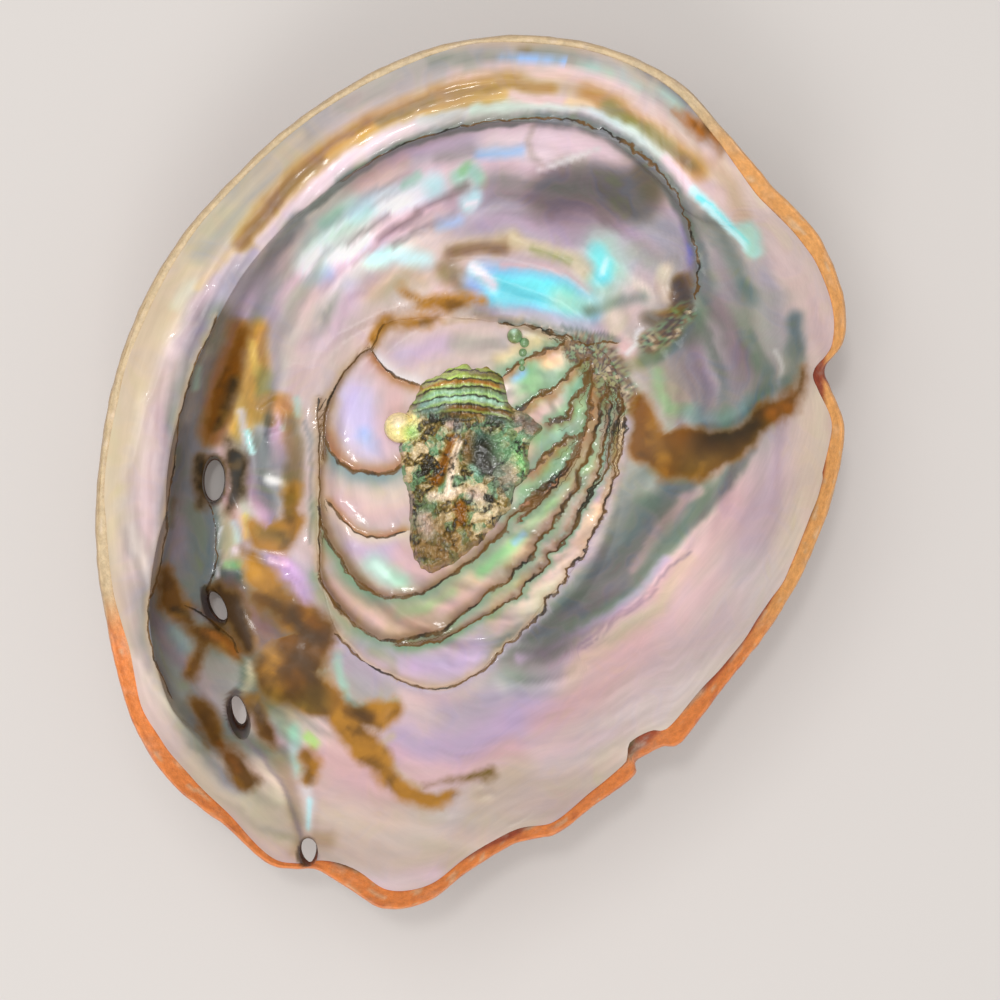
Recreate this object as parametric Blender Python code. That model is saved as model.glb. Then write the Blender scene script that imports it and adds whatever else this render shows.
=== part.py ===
# Red abalone shell, one solid piece, lying on its back with the hollow up.
# Frame: origin under the middle of the shell, on the surface that it rests on.
# +X towards the outer lip, +Y towards the spire end, +Z up.

import math

import bmesh
import bpy
import numpy as np
from mathutils import Matrix, Vector

MM = 0.001                 # the values below are in millimetres

# Grid of each of the two surfaces, inside and outside
RINGS = 23                 # rings from the middle to the margin
TOE_RING = 15              # ring where the floor ends and the wall under the shelf starts

RING_REACH = [(0, 0), (7, 0.23), (15, 0.77), (19, 0.9), (23, 1)]     # (ring, share of the way out)

# Margin seen from above, anticlockwise from the outer lip
MARGIN = [
    (84, 10), (81.5, 19.5), (80.7, 24), (84, 30), (83.5, 41), (77.8, 54), (67, 66), (57, 77.5),
    (47, 88), (34.5, 94.7), (20, 98.4), (4, 98.8), (-12, 95.5), (-28, 88), (-43, 77.8),
    (-56, 65.6), (-67, 53), (-76, 37.5), (-82.5, 19), (-85.8, -2), (-85.8, -21), (-82.5, -40),
    (-77.6, -57), (-69, -70.5), (-57, -80.6), (-47, -88.8), (-41, -90.8), (-36, -91.4),
    (-29, -94.8), (-20, -98.7), (-10, -97), (-1.5, -91.3), (10, -84.8), (19, -82), (27, -76.3),
    (36.6, -69), (37.4, -66), (43, -62.6), (47.5, -60.8), (57, -49), (67, -36), (76, -20.5),
    (82, -4),
]
MARGIN_HEIGHT = [          # (angle in degrees, height)
    (0, 50), (25, 50), (45, 50.6), (75, 50), (100, 49), (130, 47.5), (160, 46.4), (185, 46),
    (205, 46.2), (225, 47), (240, 46.6), (248, 45.2), (257, 47.4), (285, 48.6), (310, 49.2),
    (335, 49.8),
]
MARGIN_THICKNESS = 3.4
MARGIN_BEVEL = 0.8         # how far the inner corner of the margin lies inside the outer one
MARGIN_BLEND = 0.7         # ring fraction from which the surfaces lead over to the margin's height
CHIP_REACH = 0.86          # the margin's chips and waves fade out inside this ring fraction
CHIP_WIDTH = 9             # degrees over which they are evened out

# Inner edge of the shelf, from the spire round to where it fades out
SHELF_EDGE = [             # (x, y, height)
    (51.7, 54.9, 33), (49.6, 59.8, 35), (44.9, 66.1, 38), (38.7, 71.4, 40.5), (31.2, 76.3, 42.5),
    (24.1, 78.9, 43.5), (7.6, 80.1, 45), (-3.1, 78.5, 45), (-21.4, 72.1, 45), (-36.1, 62, 44.5),
    (-49.1, 49.7, 44), (-60.1, 31.4, 43.6), (-66.7, 14.7, 43.4), (-70.3, -9.5, 43.4),
    (-74, -32.8, 43.4), (-71.9, -45.9, 43), (-69.1, -54.7, 42.5), (-65.6, -60.8, 42),
    (-60.6, -68.3, 41),
]
SHELF_STARTS = (40, 54)    # angles over which the shelf grows out of the floor
SHELF_ENDS = (214, 238)
WALL_RUN = [               # (angle, how far the toe of the wall lies inside the edge)
    (45, 2.2), (75, 2.0), (95, 2.0), (120, 3.2), (145, 5.0), (180, 6.4), (205, 6.0), (230, 4.0),
    (330, 2.5),
]
WALL_BULGE = [             # (angle, how far the wall reaches outside the edge)
    (45, 0.4), (75, 0.3), (95, 0.3), (120, 0.9), (145, 1.6), (180, 2.0), (205, 1.8), (230, 0.8),
    (330, 0.4),
]
BULGE_OF_RISE = 0.16       # the bulge is never more than this share of the wall's height

# Profile from the toe of the wall to the margin: (ring, share of the way out, share of the rise)
WALL_STEPS = [(TOE_RING, 0, 0), (16.2, 0.75, 0.25), (17.5, 1, 0.66)]
SHELF_STEPS = [(19, 0, 0), (20, 0.15, 0.16), (22, 0.55, 0.46), (RINGS, 1, 1)]
UNDERCUT = (18.4, 0.4, 1.7)      # (ring, share of the bulge, depth below the shelf's edge)

# Spot heights of the floor inside
FLOOR = [
    (-1, 1, 7.0), (-38, -6, 7.8), (-8.5, -52, 8.8), (38, 11, 9.6), (6, 35, 9.4), (-30, 24, 7.8),
    (23, -31, 8.6), (-26, -30, 8.0),
    (54, 1, 15.5), (67.5, 1, 25), (76, 1, 34.5), (40, -21, 12), (54, -35, 24.5),
    (21, -54, 15.5), (20, -71, 28.5), (-6, -69, 17), (-5.5, -84, 31), (-34, -77, 25),
    (-63.7, -1.4, 11.5), (-63, -33, 13.5), (-57, -57.5, 19), (-41, -86, 34),
    (-57.5, 30, 15), (-50, -1.5, 12), (-45, -31, 12), (-42, -55, 16),
    (-46, 35, 13.5), (-35, 49, 16.5), (-38, 55, 20.5), (-13, 44, 14.5), (-13, 60, 22),
    (-17, 70.5, 33), (6, 46.6, 15.5), (6, 60, 23), (6, 74, 35), (30, 60, 22), (28, 72, 33.5),
    (30, 44, 15.5), (39.5, 53, 20), (46, 60, 27), (48.6, 43.2, 17), (21, 35, 11.5),
    (57.5, 41, 23.5), (54, 24, 16), (65, 34, 26), (64, 49, 32), (66.5, 55, 38),
    (76, 31, 36), (76, 17, 35), (74, 51, 43),
]
FLOOR_RIM_ANGLES = [0, 20, 40, 55, 75, 110, 150, 185, 215, 240, 257, 275, 300, 320, 340]

# Crest where the shelf turns into the spire, from the shelf down to the floor
CREST = [(47, 63), (51.7, 54.9), (53, 48), (53, 43), (51, 38.5), (47.6, 33), (43, 28.8), (40, 27)]
CREST_HEIGHT = [1.5, 3.4, 4.6, 4.6, 4.0, 3.0, 1.4, 0]
CREST_INNER_RUN = 1.6
CREST_OUTER_RUN = 6.0

# Lip where the floor of the spire's hollow drops to the muscle scar
LIP = [(-40, 25), (-33, 33), (-22, 38.5), (-9, 42), (2, 38.5), (14, 35), (26, 32.5), (38, 29)]
LIP_HEIGHT = [0, 1.2, 2.2, 2.6, 2.4, 2.4, 2.0, 0]
LIP_RUN = 5.0
LIP_STEP = (-0.2, 1.2)     # distances over which the lip breaks off

# Muscle scar: low steps, and a crust of lumps in the middle
SCAR_MIDDLE = (0, -1)
SCAR_RADII = (35, 41)
SCAR_RISE = 3.0
SCAR_DROP = 0.9
SCAR_STEP = (1.04, 0.96)   # shares of its radii over which it drops
CRUST = [                  # (x, y, half length, half width, turn in degrees, height)
    (-3.5, 20, 11.5, 6.5, 4, 5.0), (-13, 9, 6, 9, 0, 4.4), (-7, -2, 6, 8, -15, 4.0),
    (-12, -9, 5, 8, 10, 4.6), (-9, -19, 6.5, 6, 0, 4.2), (0, -16, 6, 5, 20, 3.6),
    (7, -10, 7, 5, 35, 3.8), (12, 3, 5, 7, -20, 3.6), (6, 9, 5, 6, 0, 3.2), (3, -3, 5, 5, 0, 2.0),
]
PEARLS = [                 # (x, y, radius, how much of the radius stands proud of the middle)
    (-18.2, 11.8, 2.3, 0.3), (9.8, 34, 1.7, 0.2), (11, 30.6, 1.3, 0.2),
    (2.4, -77.6, 2.4, 0.0), (1.6, -74.4, 1.6, 0.0),
]

# Outside: follows the inside at the thickness of the wall
WALL = [(0, 6.2), (0.55, 5.0), (0.8, 4.3), (1, 2.6)]     # (ring fraction, thickness)
WORN_DEPTH = 1.0           # how much of the outside is worn flat where it rests
UNDER_SHELF = (1.1, 1.3)   # wall thicknesses from the shelf's edge to the corner under it
UNDER_MARGIN = 2           # least distance from that corner to the margin
UNDER_WALL_STEPS = [(TOE_RING, 0, 0), (17, 0.46, 0.12), (19, 0.83, 0.5), (21, 1, 1)]
UNDER_SHELF_STEPS = [(22.5, 0.45, 0.5), (RINGS, 1, 1)]
APEX = (49, 43)
APEX_ANGLE = 77            # where the suture of the last whorl meets the margin
SPIRE_BUMP = (5.0, 15)     # how far the spire stands out, and its radius
SUTURE_START = 36
SUTURE_TIGHTNESS = 0.42
SUTURE_DEPTH = 1.8
SUTURE_WIDTH = (0.8, 0.05) # least width, and what is added per distance from the apex
GROWTH_FOLDS = [(0.38, 0.7), (0.52, 0.9), (0.65, 1.1), (0.77, 1.0), (0.88, 1.2)]
FOLD_WIDTH = 0.035
FOLD_STARTS = (0.15, 0.45) # shares of the growth over which the folds set in
CALM_RINGS = (1, 0.93)     # the relief fades out towards the margin,
CALM_HEIGHTS = (0.5, 3.0)  # and towards the worn place
WORN_RINGS = (1, 0.8)

# Breathing holes: (x, y, half width, half length, turn in degrees, lean along x, flare)
HOLES = [
    (-63.7, -1.4, 2.6, 5.2, -2, 0.0, 1.5),
    (-62.8, -32.5, 1.9, 4.0, 24, 0.10, 1.9),
    (-56.8, -57.5, 1.7, 3.8, 14, 0.12, 1.9),
    (-38.4, -87.6, 1.7, 2.2, 10, 0.0, 1.3),
]
HOLE_SIDES = 16
HOLE_TAPER = 0.9           # width of a hole outside over its width inside
HOLE_WIDENING = 1.05       # how much the cutter still widens above the floor
HOLE_BELOW = 6             # how far a hole's cutter reaches below the shell and above the floor
HOLE_FUNNEL = 2
HOLE_ABOVE = 14
KNOBS = [                  # older holes, filled and standing out below: (x, y, radius, height)
    (-63.7, -1.4, 8.5, 2.6), (-62.8, -32.5, 8, 2.8), (-56.8, -57.5, 7.5, 2.6),
    (-39.6, -88.6, 6, 1.8), (-57, 25, 7.5, 2.4), (-46, 46, 7, 2.3), (-31, 60, 6, 2.2),
    (-13, 67, 5.5, 2.0), (6, 69, 5, 1.8), (23, 66, 4.5, 1.6), (37, 59, 4, 1.4),
]
KNOB_SPREAD = 0.5          # standard deviation of a knob's bell shape, in radii

NACRE_COLOUR = (0.66, 0.60, 0.58, 1)


def cubic(a, b, c, d, f):
    """Value of the smooth curve through b and c at the fraction f, for even knots."""
    return b + 0.5 * f * (c - a + f * (2 * a - 5 * b + 4 * c - d + f * (3 * (b - c) + d - a)))


def around(knots, angle):
    """Smooth periodic curve through (degrees, value) knots, read at the angles given."""
    knots = np.array(knots, float)
    at = np.concatenate([knots[:, 0] + turn for turn in (-720, -360, 0, 360, 720)])
    value = np.tile(knots[:, 1], 5)
    slope = np.gradient(value, at)
    angle = np.degrees(angle) % 360
    i = np.searchsorted(at, angle, side="right") - 1
    span = at[i + 1] - at[i]
    f = (angle - at[i]) / span
    return ((1 + 2 * f) * (1 - f) ** 2 * value[i] + f * (1 - f) ** 2 * span * slope[i]
            + f * f * (3 - 2 * f) * value[i + 1] + f * f * (f - 1) * span * slope[i + 1])


def smooth_closed(points, steps=12):
    """Closed smooth curve through the points."""
    p = np.array(points, float)
    a, c, d = (np.roll(p, shift, axis=0) for shift in (1, -1, -2))
    f = np.arange(steps) / steps
    return np.concatenate([cubic(a[i], p[i], c[i], d[i], f[:, None]) for i in range(len(p))])


def polar(points, angle, column=None):
    """Distance from the origin, or another column of the points, read by angle."""
    p = np.array(points, float)
    at = np.arctan2(p[:, 1], p[:, 0]) % (2 * math.pi)
    order = np.argsort(at)
    value = np.hypot(p[:, 0], p[:, 1]) if column is None else p[:, column]
    return np.interp(angle % (2 * math.pi), at[order], value[order], period=2 * math.pi)


def ease(low, high, x):
    f = np.clip((x - low) / (high - low), 0, 1)
    return f * f * (3 - 2 * f)


def thin_plate(spots):
    """Smooth height field through spot heights."""
    spots = np.array(spots, float)
    xy, z = spots[:, :2] / 100, spots[:, 2]
    count = len(spots)

    def kernel(d2):
        return 0.5 * d2 * np.log(np.maximum(d2, 1e-12))

    system = np.zeros((count + 3, count + 3))
    system[:count, :count] = kernel(((xy[:, None] - xy[None]) ** 2).sum(2))
    system[:count, count] = system[count, :count] = 1
    system[:count, count + 1:] = xy
    system[count + 1:, :count] = xy.T
    weights = np.linalg.solve(system, np.concatenate([z, np.zeros(3)]))

    def height(x, y):
        shape = x.shape
        p = np.stack([x.ravel(), y.ravel()], 1) / 100
        d2 = ((p[:, None] - xy[None]) ** 2).sum(2)
        return (kernel(d2) @ weights[:count] + weights[count] + p @ weights[count + 1:]).reshape(shape)

    return height


def along(line, x, y):
    """Signed distance to a line of points (positive on its left) and the place along it."""
    best = np.full(x.shape, 1e9)
    side = np.ones(x.shape)
    place = np.zeros(x.shape)
    for i, (a, b) in enumerate(zip(line, line[1:])):
        dx, dy = b[0] - a[0], b[1] - a[1]
        f = np.clip(((x - a[0]) * dx + (y - a[1]) * dy) / (dx * dx + dy * dy), 0, 1)
        d = np.hypot(x - a[0] - f * dx, y - a[1] - f * dy)
        near = d < best
        best = np.where(near, d, best)
        side = np.where(near, np.sign(dx * (y - a[1]) - dy * (x - a[0])), side)
        place = np.where(near, i + f, place)
    return best * side, place


def ring_angle(u, v):
    """Angle of a point of the square grid once its rings are made round."""
    wide = np.abs(u) >= np.abs(v)
    ratio = np.where(wide, v / np.where(u == 0, 1, u), u / np.where(v == 0, 1, v))
    angle = np.where(wide, math.pi / 4 * ratio + np.where(u < 0, math.pi, 0),
                     math.pi / 2 - math.pi / 4 * ratio + np.where(v < 0, math.pi, 0))
    return angle % (2 * math.pi)


margin_curve = smooth_closed(MARGIN)
round_angles = np.radians(np.arange(0, 360, CHIP_WIDTH))
even_margin = np.mean([polar(margin_curve, round_angles + math.radians(turn))
                       for turn in range(-CHIP_WIDTH, CHIP_WIDTH + 1, 3)], axis=0)
even_margin = np.stack([np.degrees(round_angles), even_margin], 1)
rim_spots = []
for degrees in FLOOR_RIM_ANGLES:
    a = np.array(math.radians(degrees))
    r = float(polar(margin_curve, a))
    rim_spots.append((r * math.cos(a), r * math.sin(a), float(around(MARGIN_HEIGHT, a))))
floor_base = thin_plate(FLOOR + rim_spots)


def floor_height(x, y):
    """Height of the inside, apart from the shelf and the wall under it."""
    z = floor_base(x, y)
    d, place = along(CREST, x, y)
    size = np.interp(place, range(len(CREST)), CREST_HEIGHT)
    z = z + size * np.where(d > 0, np.exp(-d / CREST_OUTER_RUN), np.exp(d / CREST_INNER_RUN))
    d, place = along(LIP, x, y)
    size = np.interp(place, range(len(LIP)), LIP_HEIGHT)
    z = z + size * np.where(d > 0, np.exp(-d / LIP_RUN), 0) * ease(*LIP_STEP, d)
    across = np.hypot((x - SCAR_MIDDLE[0]) / SCAR_RADII[0], (y - SCAR_MIDDLE[1]) / SCAR_RADII[1])
    z = z + SCAR_RISE * np.clip(1 - across ** 2, 0, 1) - SCAR_DROP * ease(*SCAR_STEP, across)
    lumps = np.zeros(x.shape)
    for cx, cy, rx, ry, turn, high in CRUST:
        c, s = math.cos(math.radians(turn)), math.sin(math.radians(turn))
        px, py = c * (x - cx) + s * (y - cy), c * (y - cy) - s * (x - cx)
        lumps = np.maximum(lumps, high * np.sqrt(np.clip(1 - (px / rx) ** 2 - (py / ry) ** 2, 0, 1)))
    return z + lumps


def through(knots, values, t, before):
    """Smooth curve through values at the knots, or the value before the first knot."""
    last = len(knots) - 1
    for i in range(last):
        f = np.clip((t - knots[i]) / (knots[i + 1] - knots[i]), 0, 1)
        piece = cubic(values[max(i - 1, 0)], values[i], values[i + 1], values[min(i + 2, last)], f)
        before = np.where(t > knots[i], piece, before)
    return before


def ring_reach(t):
    """Share of the way out to the margin that a ring has reached."""
    rings, share = zip(*RING_REACH)
    return np.interp(t * RINGS, rings, share)


def reach(rim, angle, t):
    """Distance of the margin, without its chips for the rings well inside it."""
    even = around(even_margin, angle)
    return even + (rim - even) * ease(CHIP_REACH, 1, t)


def shelf_part(angle):
    """1 where the shelf is, 0 along the outer lip."""
    degrees = np.degrees(angle) % 360
    return ease(*SHELF_STARTS, degrees) * ease(SHELF_ENDS[1], SHELF_ENDS[0], degrees)


def profile(steps, start, end, start_z, end_z):
    """Ring fraction, distance and height of each step from one corner to the next."""
    return [(ring / RINGS, start + out * (end - start), start_z + up * (end_z - start_z))
            for ring, out, up in steps]


def inside(t, angle):
    """Points of the inside: t is 0 in the middle and 1 at the margin."""
    rim = polar(margin_curve, angle) - MARGIN_BEVEL
    top = around(MARGIN_HEIGHT, angle)
    c, s = np.cos(angle), np.sin(angle)

    r = reach(rim, angle, t) * ring_reach(t)
    z = floor_height(r * c, r * s)
    even = around(even_margin, angle)
    z = z + (top - floor_height(even * c, even * s)) * ease(MARGIN_BLEND, 1, t)

    edge, edge_z = polar(SHELF_EDGE, angle), polar(SHELF_EDGE, angle, 2)
    bulge, run = around(WALL_BULGE, angle), around(WALL_RUN, angle)
    toe = edge - run
    toe_z = floor_height(toe * c, toe * s)
    bulge = np.minimum(bulge, BULGE_OF_RISE * np.maximum(edge_z - toe_z, 0))
    ring, out, drop = UNDERCUT
    undercut = (ring / RINGS, edge + out * bulge, edge_z - drop)
    corners = (profile(WALL_STEPS, toe, edge + bulge, toe_z, edge_z) + [undercut]
               + profile(SHELF_STEPS, edge, rim, edge_z, top))
    knots, rs, zs = zip(*corners)
    shelf_r = toe * np.minimum(ring_reach(t) / ring_reach(TOE_RING / RINGS), 1)
    shelf_z = floor_height(shelf_r * c, shelf_r * s)
    shelf_r = through(knots, rs, t, shelf_r)
    shelf_z = through(knots, zs, t, shelf_z)
    shelf = shelf_part(angle)
    r = r + (shelf_r - r) * shelf
    z = z + (shelf_z - z) * shelf
    return np.stack([r * c, r * s, z], -1)


def outward(points):
    """Unit normals of a grid of points, pointing down and out."""
    n = np.cross(np.gradient(points, axis=1), np.gradient(points, axis=0))
    return n / np.maximum(np.linalg.norm(n, axis=-1, keepdims=True), 1e-9)


def relief(x, y):
    """How far growth folds, knobs and the spire stand out of the dome."""
    dx, dy = x - APEX[0], y - APEX[1]
    away = np.hypot(dx, dy)
    turn = np.arctan2(dy, dx)
    edge = np.array(margin_curve) - APEX
    at = np.arctan2(edge[:, 1], edge[:, 0])
    order = np.argsort(at)
    far = np.interp(turn, at[order], np.hypot(edge[:, 0], edge[:, 1])[order], period=2 * math.pi)
    grown = away / far
    out = np.zeros(x.shape)
    for place, size in GROWTH_FOLDS:
        out += size * np.exp(-((grown - place) / FOLD_WIDTH) ** 2)
    out *= ease(*FOLD_STARTS, grown)
    for cx, cy, radius, high in KNOBS:
        out += high * np.exp(-((x - cx) ** 2 + (y - cy) ** 2) / (KNOB_SPREAD * radius) ** 2 / 2)
    out += SPIRE_BUMP[0] * np.exp(-(away / SPIRE_BUMP[1]) ** 2)
    back = (math.radians(APEX_ANGLE) - turn) % (2 * math.pi)
    for whorl in range(3):
        spiral = SUTURE_START * np.exp(-SUTURE_TIGHTNESS * (back + 2 * math.pi * whorl))
        width = SUTURE_WIDTH[0] + SUTURE_WIDTH[1] * spiral
        out -= SUTURE_DEPTH * np.exp(-((away - spiral) / width) ** 2)
    return out


def under_floor(x, y, wall):
    """Height of the outside under a point of the floor."""
    step = 0.5
    across = (floor_base(x + step, y) - floor_base(x - step, y)) / (2 * step)
    up = (floor_base(x, y + step) - floor_base(x, y - step)) / (2 * step)
    return floor_base(x, y) - wall * np.sqrt(1 + across ** 2 + up ** 2)


def outside(t, angle):
    """Points of the outside: t is 0 in the middle and 1 at the margin."""
    rim = polar(margin_curve, angle)
    top = around(MARGIN_HEIGHT, angle) - MARGIN_THICKNESS
    wall = np.interp(t, *zip(*WALL))
    c, s = np.cos(angle), np.sin(angle)

    r = reach(rim, angle, t) * ring_reach(t)
    z = under_floor(r * c, r * s, wall)
    even = around(even_margin, angle)
    z = z + (top - under_floor(even * c, even * s, WALL[-1][1])) * ease(MARGIN_BLEND, 1, t)

    edge, edge_z = polar(SHELF_EDGE, angle), polar(SHELF_EDGE, angle, 2)
    bulge, run = around(WALL_BULGE, angle), around(WALL_RUN, angle)
    toe, thick = edge - run, float(np.interp(TOE_RING / RINGS, *zip(*WALL)))
    toe_z = under_floor(toe * c, toe * s, thick)
    corner = np.minimum(edge + bulge + UNDER_SHELF[0] * thick, rim - UNDER_MARGIN)
    corner_z = edge_z - UNDER_SHELF[1] * thick
    corners = (profile(UNDER_WALL_STEPS, toe, corner, toe_z, corner_z)
               + profile(UNDER_SHELF_STEPS, corner, rim, corner_z, top))
    knots, rs, zs = zip(*corners)
    shelf_r = toe * np.minimum(ring_reach(t) / ring_reach(TOE_RING / RINGS), 1)
    shelf_z = under_floor(shelf_r * c, shelf_r * s, wall)
    shelf = shelf_part(angle)
    r = r + (through(knots, rs, t, shelf_r) - r) * shelf
    z = z + (through(knots, zs, t, shelf_z) - z) * shelf

    points = np.stack([r * c, r * s, z], -1)
    calm = ease(*CALM_RINGS, t) * ease(*CALM_HEIGHTS, z)
    points = points + outward(points) * (relief(r * c, r * s) * calm)[..., None]
    worn = points[..., 2] - WORN_DEPTH * ease(*WORN_RINGS, t)
    points[..., 2] = np.maximum(worn, 0)
    return points


def surface(name, shape):
    """Open grid of round rings, its corners carried to where the shape puts them."""
    bm = bmesh.new()
    bmesh.ops.create_grid(bm, x_segments=2 * RINGS, y_segments=2 * RINGS, size=1)
    side = 2 * RINGS + 1
    verts = sorted(bm.verts, key=lambda v: (round(v.co.x * RINGS), round(v.co.y * RINGS)))
    u = np.round([v.co.x * RINGS for v in verts]).reshape(side, side) / RINGS
    v = np.round([v.co.y * RINGS for v in verts]).reshape(side, side) / RINGS
    points = shape(np.maximum(np.abs(u), np.abs(v)), ring_angle(u, v)).reshape(-1, 3)
    for vert, point in zip(verts, points):
        vert.co = Vector(point) * MM
    return bm


def shell_body():
    """The inside and the outside, joined round the margin."""
    bm = surface("inside", inside)
    below = surface("outside", outside)
    bmesh.ops.reverse_faces(below, faces=below.faces)
    hold = bpy.data.meshes.new("outside")
    below.to_mesh(hold)
    below.free()
    bm.from_mesh(hold)
    bpy.data.meshes.remove(hold)
    open_edges = [e for e in bm.edges if e.is_boundary]
    bmesh.ops.bridge_loops(bm, edges=open_edges)
    bmesh.ops.triangulate(bm, faces=bm.faces)
    bmesh.ops.recalc_face_normals(bm, faces=bm.faces)
    mesh = bpy.data.meshes.new("shell")
    bm.to_mesh(mesh)
    bm.free()
    return mesh


def guide(name, bm, collection):
    """A closed shape that is cut from the shell or joined to it."""
    mesh = bpy.data.meshes.new(name)
    bm.to_mesh(mesh)
    bm.free()
    ob = bpy.data.objects.new(name, mesh)
    ob.hide_render = True
    ob.display_type = "WIRE"
    collection.objects.link(ob)
    return ob


def hole_cutter(number, hole, collection):
    """A flared oval hole right through the shell, wider inside."""
    x, y, half_wide, half_long, turn, lean, flare = hole
    middle = float(floor_height(np.array([x]), np.array([y]))[0])
    bm = bmesh.new()
    bmesh.ops.create_cone(bm, cap_ends=True, segments=HOLE_SIDES, radius1=HOLE_TAPER, radius2=1,
                          depth=middle + HOLE_BELOW)
    bmesh.ops.translate(bm, verts=bm.verts, vec=(0, 0, (middle - HOLE_BELOW) / 2 - HOLE_FUNNEL))
    funnel = ((HOLE_FUNNEL, (1 + flare) / 2), (HOLE_FUNNEL, flare), (HOLE_ABOVE, HOLE_WIDENING))
    for rise, widen in funnel:
        lid = max(bm.faces, key=lambda face: face.calc_center_median().z)
        grown = bmesh.ops.extrude_face_region(bm, geom=[lid])
        bmesh.ops.delete(bm, geom=[lid], context="FACES_ONLY")
        ring = [item for item in grown["geom"] if isinstance(item, bmesh.types.BMVert)]
        bmesh.ops.translate(bm, verts=ring, vec=(0, 0, rise))
        bmesh.ops.scale(bm, verts=ring, vec=(widen, widen, 1))
    size = Matrix.Diagonal((half_wide, half_long, 1, 1))
    spin = Matrix.Rotation(math.radians(turn), 4, "Z")
    shear = Matrix(((1, 0, lean, 0), (0, 1, 0, 0), (0, 0, 1, 0), (0, 0, 0, 1)))
    above = Matrix.Translation((0, 0, -middle))
    place = Matrix.Translation((x, y, middle))
    bmesh.ops.transform(bm, matrix=place @ shear @ spin @ size @ above, verts=bm.verts)
    bmesh.ops.scale(bm, vec=(MM, MM, MM), verts=bm.verts)
    bmesh.ops.recalc_face_normals(bm, faces=bm.faces)
    return guide(f"hole_{number}", bm, collection)


def pearl(number, spot, collection):
    x, y, radius, proud = spot
    z = float(floor_height(np.array([x]), np.array([y]))[0]) + proud * radius
    bm = bmesh.new()
    bmesh.ops.create_icosphere(bm, subdivisions=2, radius=radius * MM,
                               matrix=Matrix.Translation(Vector((x, y, z)) * MM))
    return guide(f"pearl_{number}", bm, collection)


def nacre():
    material = bpy.data.materials.new("nacre")
    material.use_nodes = True
    shader = material.node_tree.nodes["Principled BSDF"]
    shader.inputs["Base Color"].default_value = NACRE_COLOUR
    shader.inputs["Roughness"].default_value = 0.25
    shader.inputs["Metallic"].default_value = 0
    return material


def main():
    for ob in list(bpy.data.objects):
        bpy.data.objects.remove(ob)
    scene = bpy.context.scene
    parts = bpy.data.collections.new("red_abalone_shell")
    guides = bpy.data.collections.new("guides")
    scene.collection.children.link(parts)
    scene.collection.children.link(guides)

    shell = bpy.data.objects.new("shell", shell_body())
    shell.data.materials.append(nacre())
    parts.objects.link(shell)
    for number, spot in enumerate(PEARLS):
        join = shell.modifiers.new(f"pearl_{number}", "BOOLEAN")
        join.operation = "UNION"
        join.solver = "EXACT"
        join.object = pearl(number, spot, guides)
    for number, hole in enumerate(HOLES):
        cut = shell.modifiers.new(f"hole_{number}", "BOOLEAN")
        cut.operation = "DIFFERENCE"
        cut.solver = "EXACT"
        cut.object = hole_cutter(number, hole, guides)


main()
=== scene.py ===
# Fine surface and colours of a red abalone shell that lies on its back, hollow up.
# Lengths are in millimetres, and places on the photograph are in its 1000 x 1000 pixels.

import math

import bmesh
import bpy
import numpy as np
from mathutils import Matrix, Vector


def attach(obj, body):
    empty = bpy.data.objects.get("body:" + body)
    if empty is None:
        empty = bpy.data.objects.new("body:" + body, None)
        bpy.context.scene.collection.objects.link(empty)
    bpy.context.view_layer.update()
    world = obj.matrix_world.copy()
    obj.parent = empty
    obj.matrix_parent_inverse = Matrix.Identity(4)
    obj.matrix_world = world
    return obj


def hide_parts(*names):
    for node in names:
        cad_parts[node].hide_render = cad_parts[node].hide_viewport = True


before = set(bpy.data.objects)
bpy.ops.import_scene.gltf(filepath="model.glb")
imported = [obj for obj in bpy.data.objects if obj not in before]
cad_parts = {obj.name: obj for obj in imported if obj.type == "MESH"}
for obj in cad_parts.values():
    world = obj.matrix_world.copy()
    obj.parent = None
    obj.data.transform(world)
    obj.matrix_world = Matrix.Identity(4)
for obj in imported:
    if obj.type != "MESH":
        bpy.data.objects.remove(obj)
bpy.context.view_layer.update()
mm = 0.001

camera = {
    "place": (6.2, -6.3, 500),       # straight above the shell
    "pixel": 0.2255 / 450,           # size of a pixel for each millimetre of distance
    "middle": 500, "across": 1000,   # middle and width of the photograph
    "sensor": 36, "clipStart": 0.01,
}

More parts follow.
